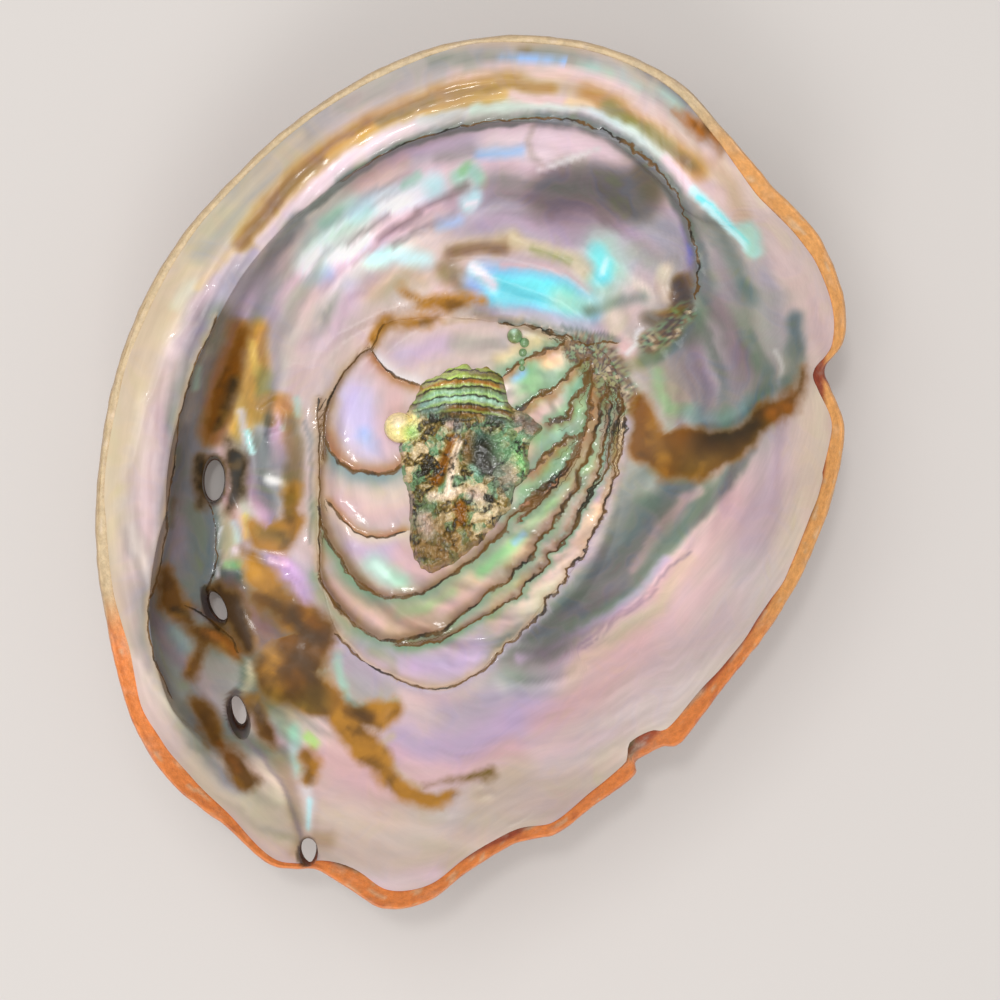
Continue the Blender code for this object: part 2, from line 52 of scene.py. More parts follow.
shell = {
    "rings": 23, "toeRing": 15, "edgeRing": 19,      # the same rings as the solid's
    "ringReach": [(0, 0), (7, 0.23), (15, 0.77), (19, 0.9), (23, 1)],
    "margin": [
        (84, 10), (81.5, 19.5), (80.7, 24), (84, 30), (83.5, 41), (77.8, 54), (67, 66),
        (57, 77.5), (47, 88), (34.5, 94.7), (20, 98.4), (4, 98.8), (-12, 95.5), (-28, 88),
        (-43, 77.8), (-56, 65.6), (-67, 53), (-76, 37.5), (-82.5, 19), (-85.8, -2), (-85.8, -21),
        (-82.5, -40), (-77.6, -57), (-69, -70.5), (-57, -80.6), (-47, -88.8), (-41, -90.8),
        (-36, -91.4), (-29, -94.8), (-20, -98.7), (-10, -97), (-1.5, -91.3), (10, -84.8),
        (19, -82), (27, -76.3), (36.6, -69), (37.4, -66), (43, -62.6), (47.5, -60.8), (57, -49),
        (67, -36), (76, -20.5), (82, -4),
    ],
    "marginHeight": [
        (0, 50), (25, 50), (45, 50.6), (75, 50), (100, 49), (130, 47.5), (160, 46.4), (185, 46),
        (205, 46.2), (225, 47), (240, 46.6), (248, 45.2), (257, 47.4), (285, 48.6), (310, 49.2),
        (335, 49.8),
    ],
    "marginThickness": 3.4, "marginInset": 0.8, "marginBlend": 0.7,
    "chipReach": 0.86, "chipWidth": 9,
    "shelfEdge": [
        (51.7, 54.9, 33), (49.6, 59.8, 35), (44.9, 66.1, 38), (38.7, 71.4, 40.5),
        (31.2, 76.3, 42.5), (24.1, 78.9, 43.5), (7.6, 80.1, 45), (-3.1, 78.5, 45),
        (-21.4, 72.1, 45), (-36.1, 62, 44.5), (-49.1, 49.7, 44), (-60.1, 31.4, 43.6),
        (-66.7, 14.7, 43.4), (-70.3, -9.5, 43.4), (-74, -32.8, 43.4), (-71.9, -45.9, 43),
        (-69.1, -54.7, 42.5), (-65.6, -60.8, 42), (-60.6, -68.3, 41),
    ],
    "shelfStarts": (40, 54), "shelfEnds": (214, 238),
    "wallStep": (1.2, 0.75, 0.25),   # rings past the toe, share of the run, share of the rise
    "bulgeStep": (2.5, 0.66), "bulgeOfRise": 0.16,
    "lipStep": (0.6, 0.4, 1.7),      # rings before the edge, share of the bulge, height below it
    "shelfSteps": [(1, 0.15, 0.16), (3, 0.55, 0.46)],
    "wallRun": [
        (45, 2.2), (75, 2.0), (95, 2.0), (120, 3.2), (145, 5.0), (180, 6.4), (205, 6.0),
        (230, 4.0), (330, 2.5),
    ],
    "wallBulge": [
        (45, 0.4), (75, 0.3), (95, 0.3), (120, 0.9), (145, 1.6), (180, 2.0), (205, 1.8),
        (230, 0.8), (330, 0.4),
    ],
    "floor": [
        (-1, 1, 7.0), (-38, -6, 7.8), (-8.5, -52, 8.8), (38, 11, 9.6), (6, 35, 9.4),
        (-30, 24, 7.8), (23, -31, 8.6), (-26, -30, 8.0), (54, 1, 15.5), (67.5, 1, 25),
        (76, 1, 34.5), (40, -21, 12), (54, -35, 24.5), (21, -54, 15.5), (20, -71, 28.5),
        (-6, -69, 17), (-5.5, -84, 31), (-34, -77, 25), (-63.7, -1.4, 11.5), (-63, -33, 13.5),
        (-57, -57.5, 19), (-41, -86, 34), (-57.5, 30, 15), (-50, -1.5, 12), (-45, -31, 12),
        (-42, -55, 16), (-46, 35, 13.5), (-35, 49, 16.5), (-38, 55, 20.5), (-13, 44, 14.5),
        (-13, 60, 22), (-17, 70.5, 33), (6, 46.6, 15.5), (6, 60, 23), (6, 74, 35), (30, 60, 22),
        (28, 72, 33.5), (30, 44, 15.5), (39.5, 53, 20), (46, 60, 27), (48.6, 43.2, 17),
        (21, 35, 11.5), (57.5, 41, 23.5), (54, 24, 16), (65, 34, 26), (64, 49, 32),
        (66.5, 55, 38), (76, 31, 36), (76, 17, 35), (74, 51, 43),
    ],
    "floorRimAngles": [0, 20, 40, 55, 75, 110, 150, 185, 215, 240, 257, 275, 300, 320, 340],
    "crest": [(47, 63), (51.7, 54.9), (53, 48), (53, 43), (51, 38.5), (47.6, 33), (43, 28.8),
              (40, 27)],
    "crestHeight": [1.5, 3.4, 4.6, 4.6, 4.0, 3.0, 1.4, 0], "crestRuns": (1.6, 6.0),
    "lip": [(-40, 25), (-33, 33), (-22, 38.5), (-9, 42), (2, 38.5), (14, 35), (26, 32.5),
            (38, 29)],
    "lipHeight": [0, 1.2, 2.2, 2.6, 2.4, 2.4, 2.0, 0], "lipRun": 5.0,
    "scarMiddle": (0, -1), "scarRadii": (35, 41), "scarRise": 3.0, "scarDrop": 0.9,
    "crust": [                       # x, y, half length, half width, turn, height
        (-3.5, 20, 11.5, 6.5, 4, 5.0), (-13, 9, 6, 9, 0, 4.4), (-7, -2, 6, 8, -15, 4.0),
        (-12, -9, 5, 8, 10, 4.6), (-9, -19, 6.5, 6, 0, 4.2), (0, -16, 6, 5, 20, 3.6),
        (7, -10, 7, 5, 35, 3.8), (12, 3, 5, 7, -20, 3.6), (6, 9, 5, 6, 0, 3.2),
        (3, -3, 5, 5, 0, 2.0),
    ],
    "wall": [(0, 6.2), (0.55, 5.0), (0.8, 4.3), (1, 2.6)],
    "wornDepth": 1.0, "underShelf": (1.1, 1.3), "cornerInset": 2, "cornerRing": 6,
    "underSteps": [(2, 0.46, 0.12), (4, 0.83, 0.5)], "underMargin": (7.5, 0.45, 0.5),
    "slopeStep": 0.5,
    "apex": (49, 43), "apexAngle": 77, "spireBump": (5.0, 15),
    "suture": (36, 0.42, 1.8),       # start, tightness, depth
    "sutureWidth": (0.8, 0.05), "whorls": 3,
    "folds": [(0.38, 0.7), (0.52, 0.9), (0.65, 1.1), (0.77, 1.0), (0.88, 1.2)],
    "foldWidth": 0.035,
    "holes": [                       # x, y, half width, half length, turn, lean, flare
        (-63.7, -1.4, 2.6, 5.2, -2, 0.14, 1.1), (-62.8, -32.5, 1.9, 4.0, 24, 0.10, 1.35),
        (-56.8, -57.5, 1.7, 3.8, 14, 0.12, 1.35), (-38.4, -87.6, 1.7, 2.2, 10, 0.09, 1.15),
    ],
    "holeSides": 32, "holeBelow": 6, "holeFunnel": 2, "holeAbove": 14, "holeTaper": 0.9,
    "holeWidening": 1.05, "knobSpread": 0.5,
    "knobs": [
        (-63.7, -1.4, 8.5, 2.6), (-62.8, -32.5, 8, 2.8), (-56.8, -57.5, 7.5, 2.6),
        (-39.6, -88.6, 6, 1.8), (-57, 25, 7.5, 2.4), (-46, 46, 7, 2.3), (-31, 60, 6, 2.2),
        (-13, 67, 5.5, 2.0), (6, 69, 5, 1.8), (23, 66, 4.5, 1.6), (37, 59, 4, 1.4),
    ],
}

tones = {                            # colours by name, as seen, 0 to 255
    "blush": (212, 190, 184), "rose": (219, 182, 182), "pinkWhite": (238, 214, 222),
    "pearl": (226, 220, 220), "cream": (222, 204, 184), "sand": (206, 190, 160),
    "tan": (184, 158, 126), "lilac": (192, 172, 200), "lilacGrey": (172, 160, 174),
    "mauve": (142, 128, 132), "mauveBrown": (114, 100, 98), "grey": (158, 154, 148),
    "slate": (108, 108, 106), "teal": (118, 142, 138), "deepTeal": (72, 94, 92),
    "greenGrey": (102, 112, 98), "mint": (168, 208, 192), "mintWhite": (210, 236, 226),
    "cyan": (112, 226, 232), "cyanWhite": (204, 242, 246), "sky": (152, 190, 238),
    "blue": (108, 108, 206), "violet": (116, 98, 176), "leaf": (132, 190, 124),
    "lime": (176, 208, 118), "oliveGreen": (122, 126, 70), "olive": (118, 100, 50),
    "ochre": (172, 126, 52), "gold": (206, 154, 62), "yellowGold": (228, 192, 98),
    "amber": (122, 78, 12), "orangeBrown": (156, 100, 40), "brown": (106, 74, 30),
    "darkBrown": (66, 46, 20), "nearBlack": (36, 32, 24), "orange": (226, 138, 78),
    "lightOrange": (228, 172, 112), "paleOrange": (228, 196, 150), "brickRed": (132, 58, 40),
    "rust": (158, 84, 56), "chalk": (204, 196, 180), "algae": (92, 98, 68),
    "bandGreen": (112, 144, 110), "darkOlive": (82, 70, 36), "darkTeal": (56, 78, 70),
    "greyPink": (194, 174, 170), "smoke": (132, 128, 120), "paleLilac": (214, 204, 242),
    "bandSand": (190, 168, 136), "ledgeSand": (202, 184, 156), "white": (250, 246, 252),
    "pearlYellow": (226, 214, 158),
}

# Strokes of colour on the inside: tone, width in pixels, softness, strength, points.
# They are laid on in this order.
strokes = [
    # The wide outer lip, right and below
    ("grey", 70, 1.0, 0.7, [(740, 300), (730, 360), (705, 390)]),
    ("blush", 60, 0.9, 0.9, [(790, 470), (740, 600), (640, 720), (520, 800), (380, 850)]),
    ("cream", 34, 0.9, 0.8, [(820, 400), (815, 500), (790, 590), (730, 690), (650, 760)]),
    ("rose", 40, 1.0, 0.8, [(698, 600), (645, 665), (575, 720), (530, 760)]),
    ("rose", 30, 1.0, 0.6, [(770, 480), (735, 560), (700, 620)]),
    ("lilacGrey", 24, 1.0, 0.5, [(771, 430), (771, 480), (745, 560)]),
    ("pearl", 44, 1.0, 0.55, [(750, 590), (690, 670), (600, 745), (500, 800), (390, 850)]),
    ("cream", 22, 1.0, 0.6, [(553, 790), (600, 780), (640, 745)]),
    ("cream", 26, 1.0, 0.7, [(340, 845), (397, 860), (460, 848), (520, 822)]),
    ("pinkWhite", 12, 1.0, 0.7, [(345, 878), (380, 884), (430, 874)]),
    ("sand", 22, 1.0, 0.6, [(480, 800), (497, 790), (515, 775)]),
    ("rose", 34, 1.0, 0.9, [(330, 760), (352, 774), (385, 800)]),
    ("cream", 20, 1.0, 0.6, [(328, 812), (372, 820), (420, 822)]),
    ("lilac", 30, 0.9, 0.9, [(410, 745), (450, 750), (497, 725), (530, 700)]),
    ("rose", 16, 1.0, 0.7, [(395, 760), (430, 776), (475, 765), (510, 750)]),
    ("rose", 14, 1.0, 0.7, [(412, 700), (440, 702)]),
    ("lilacGrey", 18, 0.9, 0.8, [(440, 712), (470, 708), (500, 690), (560, 660)]),
    ("pearl", 12, 1.0, 0.7, [(505, 682), (512, 676)]),
    ("blush", 18, 0.9, 0.6, [(400, 690), (415, 700), (425, 720)]),
    ("grey", 16, 0.8, 0.7, [(345, 660), (362, 684), (382, 688)]),
    ("lilacGrey", 14, 0.9, 0.8, [(345, 664), (366, 680)]),
    ("mint", 5, 1.0, 0.8, [(335, 655), (338, 676), (350, 702), (372, 708), (392, 703)]),
    ("teal", 5, 0.8, 0.7, [(346, 698), (360, 706), (380, 707)]),
    ("sand", 5, 1.0, 0.7, [(392, 735), (381, 745), (384, 760), (400, 775), (420, 786)]),

    # Grey bulb at the right, its teal foot and its dark streaks; the streaks by the spire's edge are
    # partly painted shade
    ("smoke", 62, 0.7, 0.85, [(700, 350), (735, 362), (720, 385)]),
    ("lilacGrey", 32, 1.0, 0.7, [(700, 345), (715, 372), (690, 380)]),
    ("tan", 20, 1.0, 0.5, [(668, 380), (675, 396)]),
    ("mauve", 16, 1.0, 0.7, [(697, 332), (720, 312), (728, 300)]),
    # Painted shade: dark green-grey streaks in the crease beside the spire's edge and down its slope
    ("greenGrey", 11, 1.0, 0.8, [(700, 262), (708, 285), (700, 312), (686, 336)]),
    ("mauve", 10, 1.0, 0.6, [(718, 240), (722, 265), (732, 290)]),
    ("greenGrey", 10, 1.0, 0.8, [(712, 222), (728, 243), (738, 266), (745, 290), (752, 300)]),
    ("deepTeal", 6, 1.0, 0.5, [(742, 284), (750, 297)]),
    ("lilacGrey", 12, 1.0, 0.7, [(765, 270), (775, 310), (780, 345)]),
    ("blush", 18, 1.0, 0.8, [(790, 260), (805, 310), (815, 360)]),
    ("grey", 14, 1.0, 0.6, [(762, 300), (770, 330), (775, 360)]),
    ("greenGrey", 5, 1.0, 0.6, [(752, 330), (762, 350), (768, 372)]),
    ("greenGrey", 8, 1.0, 0.8, [(756, 355), (765, 378), (760, 398)]),
    ("pearl", 3, 1.0, 0.5, [(778, 350), (781, 366), (776, 384)]),
    ("deepTeal", 10, 0.9, 0.75, [(796, 322), (799, 338), (797, 352)]),
    ("greenGrey", 9, 1.0, 0.8, [(798, 352), (794, 368), (786, 382)]),
    ("leaf", 7, 1.0, 0.45, [(654, 371), (657, 396), (668, 410), (686, 412)]),
    ("teal", 10, 1.0, 0.85, [(690, 415), (706, 420), (722, 422), (738, 414), (752, 402)]),
    ("deepTeal", 5, 1.0, 0.7, [(704, 428), (722, 430), (740, 420), (756, 404)]),
    ("deepTeal", 8, 1.0, 0.5, [(752, 404), (766, 388), (782, 384)]),

    # Silky green-grey band outside the scar
    ("greenGrey", 34, 0.8, 0.95, [(660, 490), (634, 530), (606, 575), (560, 622), (518, 652)]),
    ("slate", 14, 1.0, 0.8, [(640, 510), (622, 548), (586, 600), (540, 640)]),
    ("greenGrey", 17, 0.8, 0.8, [(700, 490), (655, 500), (632, 540), (600, 590), (560, 622)]),
    ("deepTeal", 10, 1.0, 0.6, [(668, 492), (650, 507), (640, 528)]),
    ("grey", 9, 1.0, 0.7, [(655, 485), (625, 492), (612, 520)]),
    ("rose", 6, 0.9, 0.7, [(700, 490), (684, 500), (660, 530), (636, 568)]),
    ("greenGrey", 9, 0.8, 0.9, [(738, 462), (713, 496), (688, 525), (650, 571), (605, 608),
                                (545, 640)]),
    ("slate", 4, 1.0, 0.7, [(752, 448), (735, 470), (712, 502), (690, 530)]),
    ("lilac", 6, 0.9, 0.7, [(668, 562), (616, 612), (560, 640), (520, 660)]),
    ("slate", 15, 0.9, 0.9, [(640, 520), (622, 552), (600, 586), (565, 620), (530, 646)]),
    ("sand", 9, 1.0, 0.6, [(690, 560), (659, 612), (600, 655), (570, 672)]),
    ("mauve", 1.6, 0.8, 0.6, [(692, 552), (640, 602), (590, 640), (548, 668)]),
    ("mauve", 1.6, 0.8, 0.5, [(660, 590), (620, 622), (580, 655)]),
    ("rose", 16, 1.0, 0.6, [(640, 648), (590, 690), (540, 719)]),
    ("nearBlack", 24, 1.0, 0.3, [(655, 515), (622, 562), (585, 606), (540, 640)]),
    ("nearBlack", 40, 1.0, 0.22, [(700, 340), (722, 362), (700, 380)]),

    # Ledge round the upper left
    ("sand", 22, 0.8, 0.9, [(112, 620), (102, 560), (104, 470), (122, 390), (150, 320), (190, 260),
                            (240, 196), (300, 140)]),
    ("ledgeSand", 28, 0.8, 0.95, [(118, 640), (110, 560), (114, 470), (134, 390), (160, 330),
                                 (196, 270), (246, 206), (300, 150)]),
    ("greyPink", 18, 0.8, 0.85, [(150, 660), (134, 600), (138, 520), (150, 440), (172, 370),
                              (200, 310), (232, 262)]),
    ("pinkWhite", 9, 1.0, 0.7, [(176, 350), (196, 312), (222, 280), (250, 250)]),
    ("mintWhite", 8, 1.0, 0.25, [(176, 305), (191, 287)]),
    ("paleOrange", 5, 1.0, 0.7, [(197, 290), (243, 241)]),
    ("tan", 3, 0.9, 0.7, [(160, 540), (168, 480), (180, 418), (196, 360), (218, 312)]),
    ("grey", 17, 0.8, 0.8, [(200, 248), (240, 196), (290, 144), (340, 106), (400, 76), (450, 60),
                            (500, 52), (560, 52), (620, 74), (670, 104), (700, 130)]),
    ("sand", 7, 1.0, 0.8, [(180, 258), (218, 216), (254, 180), (300, 138)]),
    ("tan", 6, 1.0, 0.7, [(430, 44), (500, 38), (558, 40), (610, 54), (660, 84)]),
    ("greenGrey", 5, 1.0, 0.5, [(430, 62), (480, 54), (540, 52), (590, 62)]),
    ("mint", 4, 1.0, 0.6, [(581, 62), (627, 80), (661, 94), (684, 108)]),
    ("olive", 6, 1.0, 0.7, [(518, 52), (528, 50)]),
    ("slate", 3, 1.0, 0.8, [(606, 48), (660, 78), (690, 104), (716, 130)]),
    ("blush", 10, 0.9, 0.8, [(262, 228), (310, 178), (360, 142), (410, 112), (450, 92), (500, 76),
                             (560, 74), (610, 88), (660, 116)]),
    # Painted highlight along the ledge's crest: a pink and a sky-blue line
    ("rose", 5, 1.0, 0.8, [(450, 76), (489, 70), (558, 72), (581, 79)]),
    ("sky", 2.5, 1.0, 0.9, [(486, 61), (523, 57), (566, 62)]),
    ("cream", 5, 1.0, 0.6, [(672, 120), (690, 138), (706, 152)]),
    ("ochre", 14, 0.8, 0.9, [(246, 238), (275, 202), (303, 174), (336, 149), (369, 129),
                             (402, 111), (436, 98), (470, 90), (512, 84)]),
    ("amber", 7, 1.0, 0.7, [(240, 244), (262, 216), (290, 182), (330, 150), (370, 127)]),
    ("gold", 6, 0.9, 0.9, [(330, 156), (350, 144), (376, 130)]),
    ("olive", 6, 1.0, 0.6, [(380, 122), (420, 104), (460, 92)]),
    ("tan", 9, 1.0, 0.7, [(500, 82), (558, 84), (590, 94), (610, 106)]),
    ("ochre", 14, 0.9, 0.9, [(590, 98), (630, 120), (655, 140), (680, 158), (698, 168)]),
    ("olive", 8, 1.0, 0.8, [(610, 110), (640, 130), (668, 150), (692, 166)]),
    ("gold", 5, 0.9, 0.9, [(420, 116), (452, 104), (490, 98), (510, 97)]),
    ("ochre", 8, 0.9, 0.9, [(440, 94), (475, 88), (512, 85), (550, 88)]),
    ("oliveGreen", 10, 1.0, 0.6, [(610, 112), (640, 130), (668, 150)]),
    ("rose", 7, 0.9, 0.95, [(514, 98), (543, 99), (566, 103)]),
    ("paleOrange", 6, 0.9, 0.9, [(570, 103), (590, 108)]),
    # Painted shade: the dark grey-green slope where the ledge rounds down to its inner edge
    ("greenGrey", 9, 0.9, 0.9, [(430, 132), (480, 120), (540, 116), (590, 125), (630, 146),
                                (661, 178), (690, 212), (718, 240)]),
    ("grey", 12, 1.0, 0.7, [(664, 176), (688, 206), (712, 240)]),
    ("lilac", 5, 0.9, 0.9, [(197, 333), (226, 290), (255, 252)]),
    # Painted highlight: the bright pink, mint and cyan line along the ledge's inner edge, standing
    # in for its reflection
    ("pinkWhite", 9, 0.9, 1.0, [(262, 240), (276, 223), (310, 192), (346, 163), (387, 138),
                                (420, 126)]),
    ("pearl", 7, 0.9, 1.0, [(420, 124), (454, 114), (480, 109)]),
    ("mintWhite", 6, 0.9, 1.0, [(477, 109), (507, 108), (558, 109), (592, 116)]),
    ("cyanWhite", 6, 0.9, 0.9, [(592, 116), (615, 124), (636, 138)]),
    ("mintWhite", 8, 0.9, 1.0, [(630, 132), (650, 149), (668, 165)]),
    ("pinkWhite", 7, 0.9, 1.0, [(668, 164), (680, 176), (691, 188)]),
    ("cyanWhite", 6, 0.8, 0.95, [(696, 192), (714, 210), (737, 232), (757, 250)]),
    ("cyan", 3.5, 0.9, 0.8, [(702, 200), (726, 222), (750, 244)]),
    ("cyanWhite", 3, 0.9, 0.95, [(708, 208), (730, 228), (750, 248)]),
    ("mint", 9, 0.9, 0.9, [(748, 228), (757, 238), (757, 248)]),
    ("tan", 9, 1.0, 0.6, [(716, 160), (733, 190), (744, 214)]),
    ("cream", 4, 1.0, 0.8, [(722, 160), (748, 180), (765, 205)]),
    ("blush", 10, 1.0, 0.8, [(772, 200), (780, 240), (782, 280)]),

    # Roof of the spire's hollow: pale above, dark in the middle, bright below; its white strokes are
    # painted highlights and the dark middle is partly painted shade
    ("greyPink", 44, 0.8, 0.95, [(325, 290), (360, 230), (420, 180), (490, 150), (570, 150),
                                 (630, 190)]),
    ("pinkWhite", 34, 1.0, 0.85, [(330, 270), (366, 224), (420, 182), (480, 152), (520, 144)]),
    ("lilacGrey", 34, 0.8, 0.95, [(480, 215), (550, 225), (620, 245), (665, 245)]),
    ("grey", 26, 0.9, 0.8, [(250, 290), (270, 310), (240, 350), (225, 400)]),
    ("lilacGrey", 24, 1.0, 0.8, [(281, 364), (300, 330), (312, 296)]),
    ("slate", 9, 0.9, 0.8, [(255, 287), (275, 248), (298, 218)]),
    ("lilac", 22, 1.0, 0.6, [(336, 305), (310, 345), (294, 372)]),
    ("lilac", 16, 1.0, 0.7, [(400, 162), (440, 146), (480, 138), (520, 132)]),
    ("rose", 11, 1.0, 0.8, [(365, 182), (385, 174), (400, 166)]),
    # Painted light: a pink-white patch that brightens the shaded wall under the ledge
    ("pinkWhite", 22, 0.7, 0.95, [(500, 140), (548, 134), (578, 137), (604, 150)]),
    ("pinkWhite", 8, 1.0, 0.8, [(536, 150), (548, 160)]),
    ("sky", 7, 1.0, 0.75, [(480, 154), (502, 151), (520, 149)]),
    ("mauve", 8, 1.0, 0.5, [(440, 160), (470, 150)]),
    ("mauve", 20, 1.0, 0.8, [(505, 184), (530, 192), (560, 212), (600, 224)]),
    ("mauveBrown", 28, 0.8, 0.97, [(556, 193), (590, 190), (636, 200)]),
    ("slate", 18, 1.0, 0.8, [(560, 186), (600, 186), (636, 186)]),
    # Painted shade: a thin near-black coat over the roof's dark middle
    ("nearBlack", 22, 1.0, 0.25, [(560, 186), (600, 190), (636, 196)]),
    ("darkOlive", 11, 0.9, 0.6, [(640, 174), (652, 190)]),
    ("lilacGrey", 14, 1.0, 0.8, [(640, 236), (664, 226), (676, 216)]),
    ("violet", 7, 1.0, 0.5, [(684, 226), (691, 250), (692, 268)]),
    ("blue", 3.5, 1.0, 0.6, [(688, 244), (691, 262)]),
    ("grey", 13, 0.9, 0.8, [(640, 250), (660, 258), (668, 262)]),
    # Painted highlight: a pale line on a small ridge of the roof
    ("pearl", 3.4, 0.9, 0.8, [(540, 168), (556, 163), (578, 158), (598, 152)]),
    ("greyPink", 4, 1.0, 0.8, [(533, 128), (527, 140), (532, 154), (545, 166)]),
    # Painted highlights on the roof's upper left: the white, cyan-white and mint streaks below
    ("mintWhite", 22, 0.9, 0.9, [(314, 256), (330, 230), (345, 216)]),
    ("mint", 8, 1.0, 0.8, [(325, 222), (338, 212)]),
    ("cyanWhite", 13, 0.9, 0.95, [(356, 210), (385, 200), (412, 194), (434, 188)]),
    ("white", 10, 1.0, 0.9, [(384, 203), (400, 198), (418, 194)]),
    ("mint", 5, 0.9, 0.8, [(404, 186), (418, 178)]),
    ("white", 14, 0.9, 0.95, [(306, 264), (340, 255), (376, 250)]),
    ("cyanWhite", 11, 0.9, 0.9, [(372, 256), (400, 254), (424, 258)]),
    ("sky", 9, 1.0, 0.6, [(312, 286), (330, 276)]),
    ("mint", 9, 0.9, 0.9, [(458, 178), (470, 170), (478, 176)]),
    ("leaf", 5, 1.0, 0.6, [(462, 172), (468, 166)]),
    ("cyanWhite", 9, 0.9, 0.95, [(466, 200), (474, 194)]),
    ("white", 4, 0.8, 0.95, [(466, 200), (474, 200)]),
    ("sky", 7, 1.0, 0.6, [(440, 222), (456, 216)]),
    ("lilac", 10, 1.0, 0.7, [(352, 285), (372, 278)]),
    ("mauveBrown", 4.5, 1.0, 0.6, [(380, 238), (398, 226), (420, 212)]),
    ("mauveBrown", 3.6, 1.0, 0.55, [(418, 208), (440, 198), (466, 184)]),
    ("mauve", 3.8, 1.0, 0.6, [(350, 246), (366, 230), (390, 214)]),
    ("mauve", 3.8, 1.0, 0.55, [(396, 244), (420, 228), (452, 212)]),
    ("greyPink", 4, 0.9, 0.7, [(356, 264), (378, 244)]),
    ("tan", 11, 0.9, 0.9, [(452, 248), (480, 243), (512, 240)]),
    ("brown", 7, 1.0, 0.7, [(450, 250), (478, 245), (500, 247)]),
    ("sand", 8, 0.9, 0.85, [(514, 240), (545, 250), (572, 262), (588, 276)]),
    ("oliveGreen", 4, 1.0, 0.5, [(530, 248), (566, 262)]),
    ("olive", 12, 0.9, 0.75, [(446, 268), (458, 280), (468, 288)]),
    ("tan", 14, 1.0, 0.6, [(372, 286), (396, 276), (420, 276)]),
    # The cyan band below is the nacre's own colour; its white and cyan-white strokes are painted
    # highlights
    ("sky", 23, 0.6, 0.95, [(486, 282), (520, 288), (556, 298), (582, 308)]),
    ("cyan", 20, 0.8, 0.95, [(502, 288), (530, 290), (562, 298)]),
    ("mint", 15, 0.9, 0.85, [(560, 300), (586, 308)]),
    ("cyanWhite", 8, 0.9, 0.95, [(474, 268), (486, 278), (494, 286)]),
    ("white", 4.5, 0.9, 1.0, [(472, 264), (484, 272), (494, 284)]),
    ("rose", 3.4, 0.9, 0.7, [(500, 262), (540, 266), (570, 276), (592, 290)]),
    ("greenGrey", 7, 1.0, 0.7, [(588, 312), (612, 304), (640, 300)]),
    ("mint", 20, 0.9, 0.85, [(600, 250), (612, 266), (606, 284)]),
    ("cyan", 11, 0.9, 0.9, [(596, 254), (604, 266), (602, 276)]),
    ("cyanWhite", 4, 1.0, 0.95, [(604, 262), (602, 272)]),
    ("lilacGrey", 8, 1.0, 0.8, [(480, 310), (520, 314), (560, 322), (600, 332)]),
    ("tan", 4, 1.0, 0.7, [(440, 322), (480, 317), (520, 320)]),
    ("slate", 3, 0.8, 0.8, [(560, 328), (590, 338), (620, 336)]),
    ("cream", 7, 0.8, 0.9, [(664, 268), (660, 282), (664, 296)]),
    ("brown", 12, 0.6, 0.95, [(681, 284), (680, 300)]),
    ("darkBrown", 8, 0.8, 0.95, [(677, 286), (684, 296), (678, 306)]),
    ("amber", 6, 0.8, 0.85, [(656, 316), (668, 312), (680, 308)]),
    ("deepTeal", 9, 0.8, 0.9, [(688, 312), (680, 330), (664, 346), (644, 356)]),
    ("darkOlive", 8, 0.9, 0.8, [(650, 318), (664, 322), (672, 330)]),
    ("rose", 11, 0.9, 0.85, [(624, 342), (632, 352), (626, 362)]),
    ("pearl", 3, 0.9, 0.9, [(642, 328), (637, 342), (629, 352)]),
    ("oliveGreen", 9, 1.0, 0.6, [(660, 344), (640, 360), (622, 368)]),
    # Painted shade: dark slate lines under the ledge's inner edge, where it overhangs the roof
    ("slate", 4, 0.7, 0.85, [(302, 213), (340, 183), (380, 158), (420, 140), (460, 127),
                             (500, 121), (540, 119)]),
    ("slate", 8, 0.8, 0.9, [(540, 119), (575, 122), (605, 133), (632, 148), (656, 169),
                            (674, 193), (688, 222), (702, 256), (702, 290)]),

    # Left side: between the ledge and the scar
    ("lilacGrey", 40, 0.8, 0.9, [(250, 300), (268, 380), (285, 470), (298, 560), (310, 620)]),
    ("blush", 26, 1.0, 0.9, [(314, 300), (298, 350), (300, 400), (306, 480), (310, 540)]),
    ("greenGrey", 40, 0.8, 0.9, [(205, 560), (220, 620), (250, 680)]),
    # Painted shade: the dark wall under the ledge on the left
    ("slate", 27, 0.7, 0.95, [(218, 330), (198, 400), (188, 460), (184, 530), (182, 590)]),
    ("grey", 7, 1.0, 0.8, [(204, 352), (194, 384), (186, 420)]),
    ("mint", 5, 1.0, 0.7, [(195, 386), (199, 366)]),
    ("greenGrey", 14, 0.9, 0.9, [(202, 510), (202, 550), (196, 590)]),
    ("deepTeal", 6, 1.0, 0.8, [(212, 520), (214, 560), (206, 586)]),
    ("mauve", 10, 1.0, 0.6, [(176, 500), (176, 550)]),
    ("darkOlive", 5, 0.9, 0.8, [(174, 500), (171, 524)]),
    ("amber", 14, 0.8, 0.95, [(238, 332), (228, 370), (219, 405), (211, 434)]),
    ("darkBrown", 5, 1.0, 0.8, [(234, 370), (230, 400), (220, 426)]),
    ("gold", 13, 0.8, 0.95, [(258, 332), (254, 365), (246, 398), (238, 428)]),
    ("yellowGold", 5, 0.9, 0.95, [(252, 346), (253, 374)]),
    ("oliveGreen", 9, 0.9, 0.6, [(262, 376), (262, 396)]),
    ("ochre", 11, 0.8, 0.9, [(256, 412), (268, 402), (284, 404), (294, 416)]),
    ("olive", 8, 0.6, 0.95, [(269, 419)]),
    # Painted highlight: a pink-white streak
    ("pinkWhite", 5, 0.9, 0.95, [(238, 412), (242, 430), (246, 446)]),
    ("slate", 19, 0.8, 0.7, [(262, 448), (268, 470), (270, 490)]),
    ("pearl", 4, 0.9, 0.8, [(268, 480), (286, 484)]),
    # Painted highlights: small cyan-white and mint streaks
    ("cyanWhite", 3.5, 0.9, 0.95, [(246, 432), (251, 452)]),
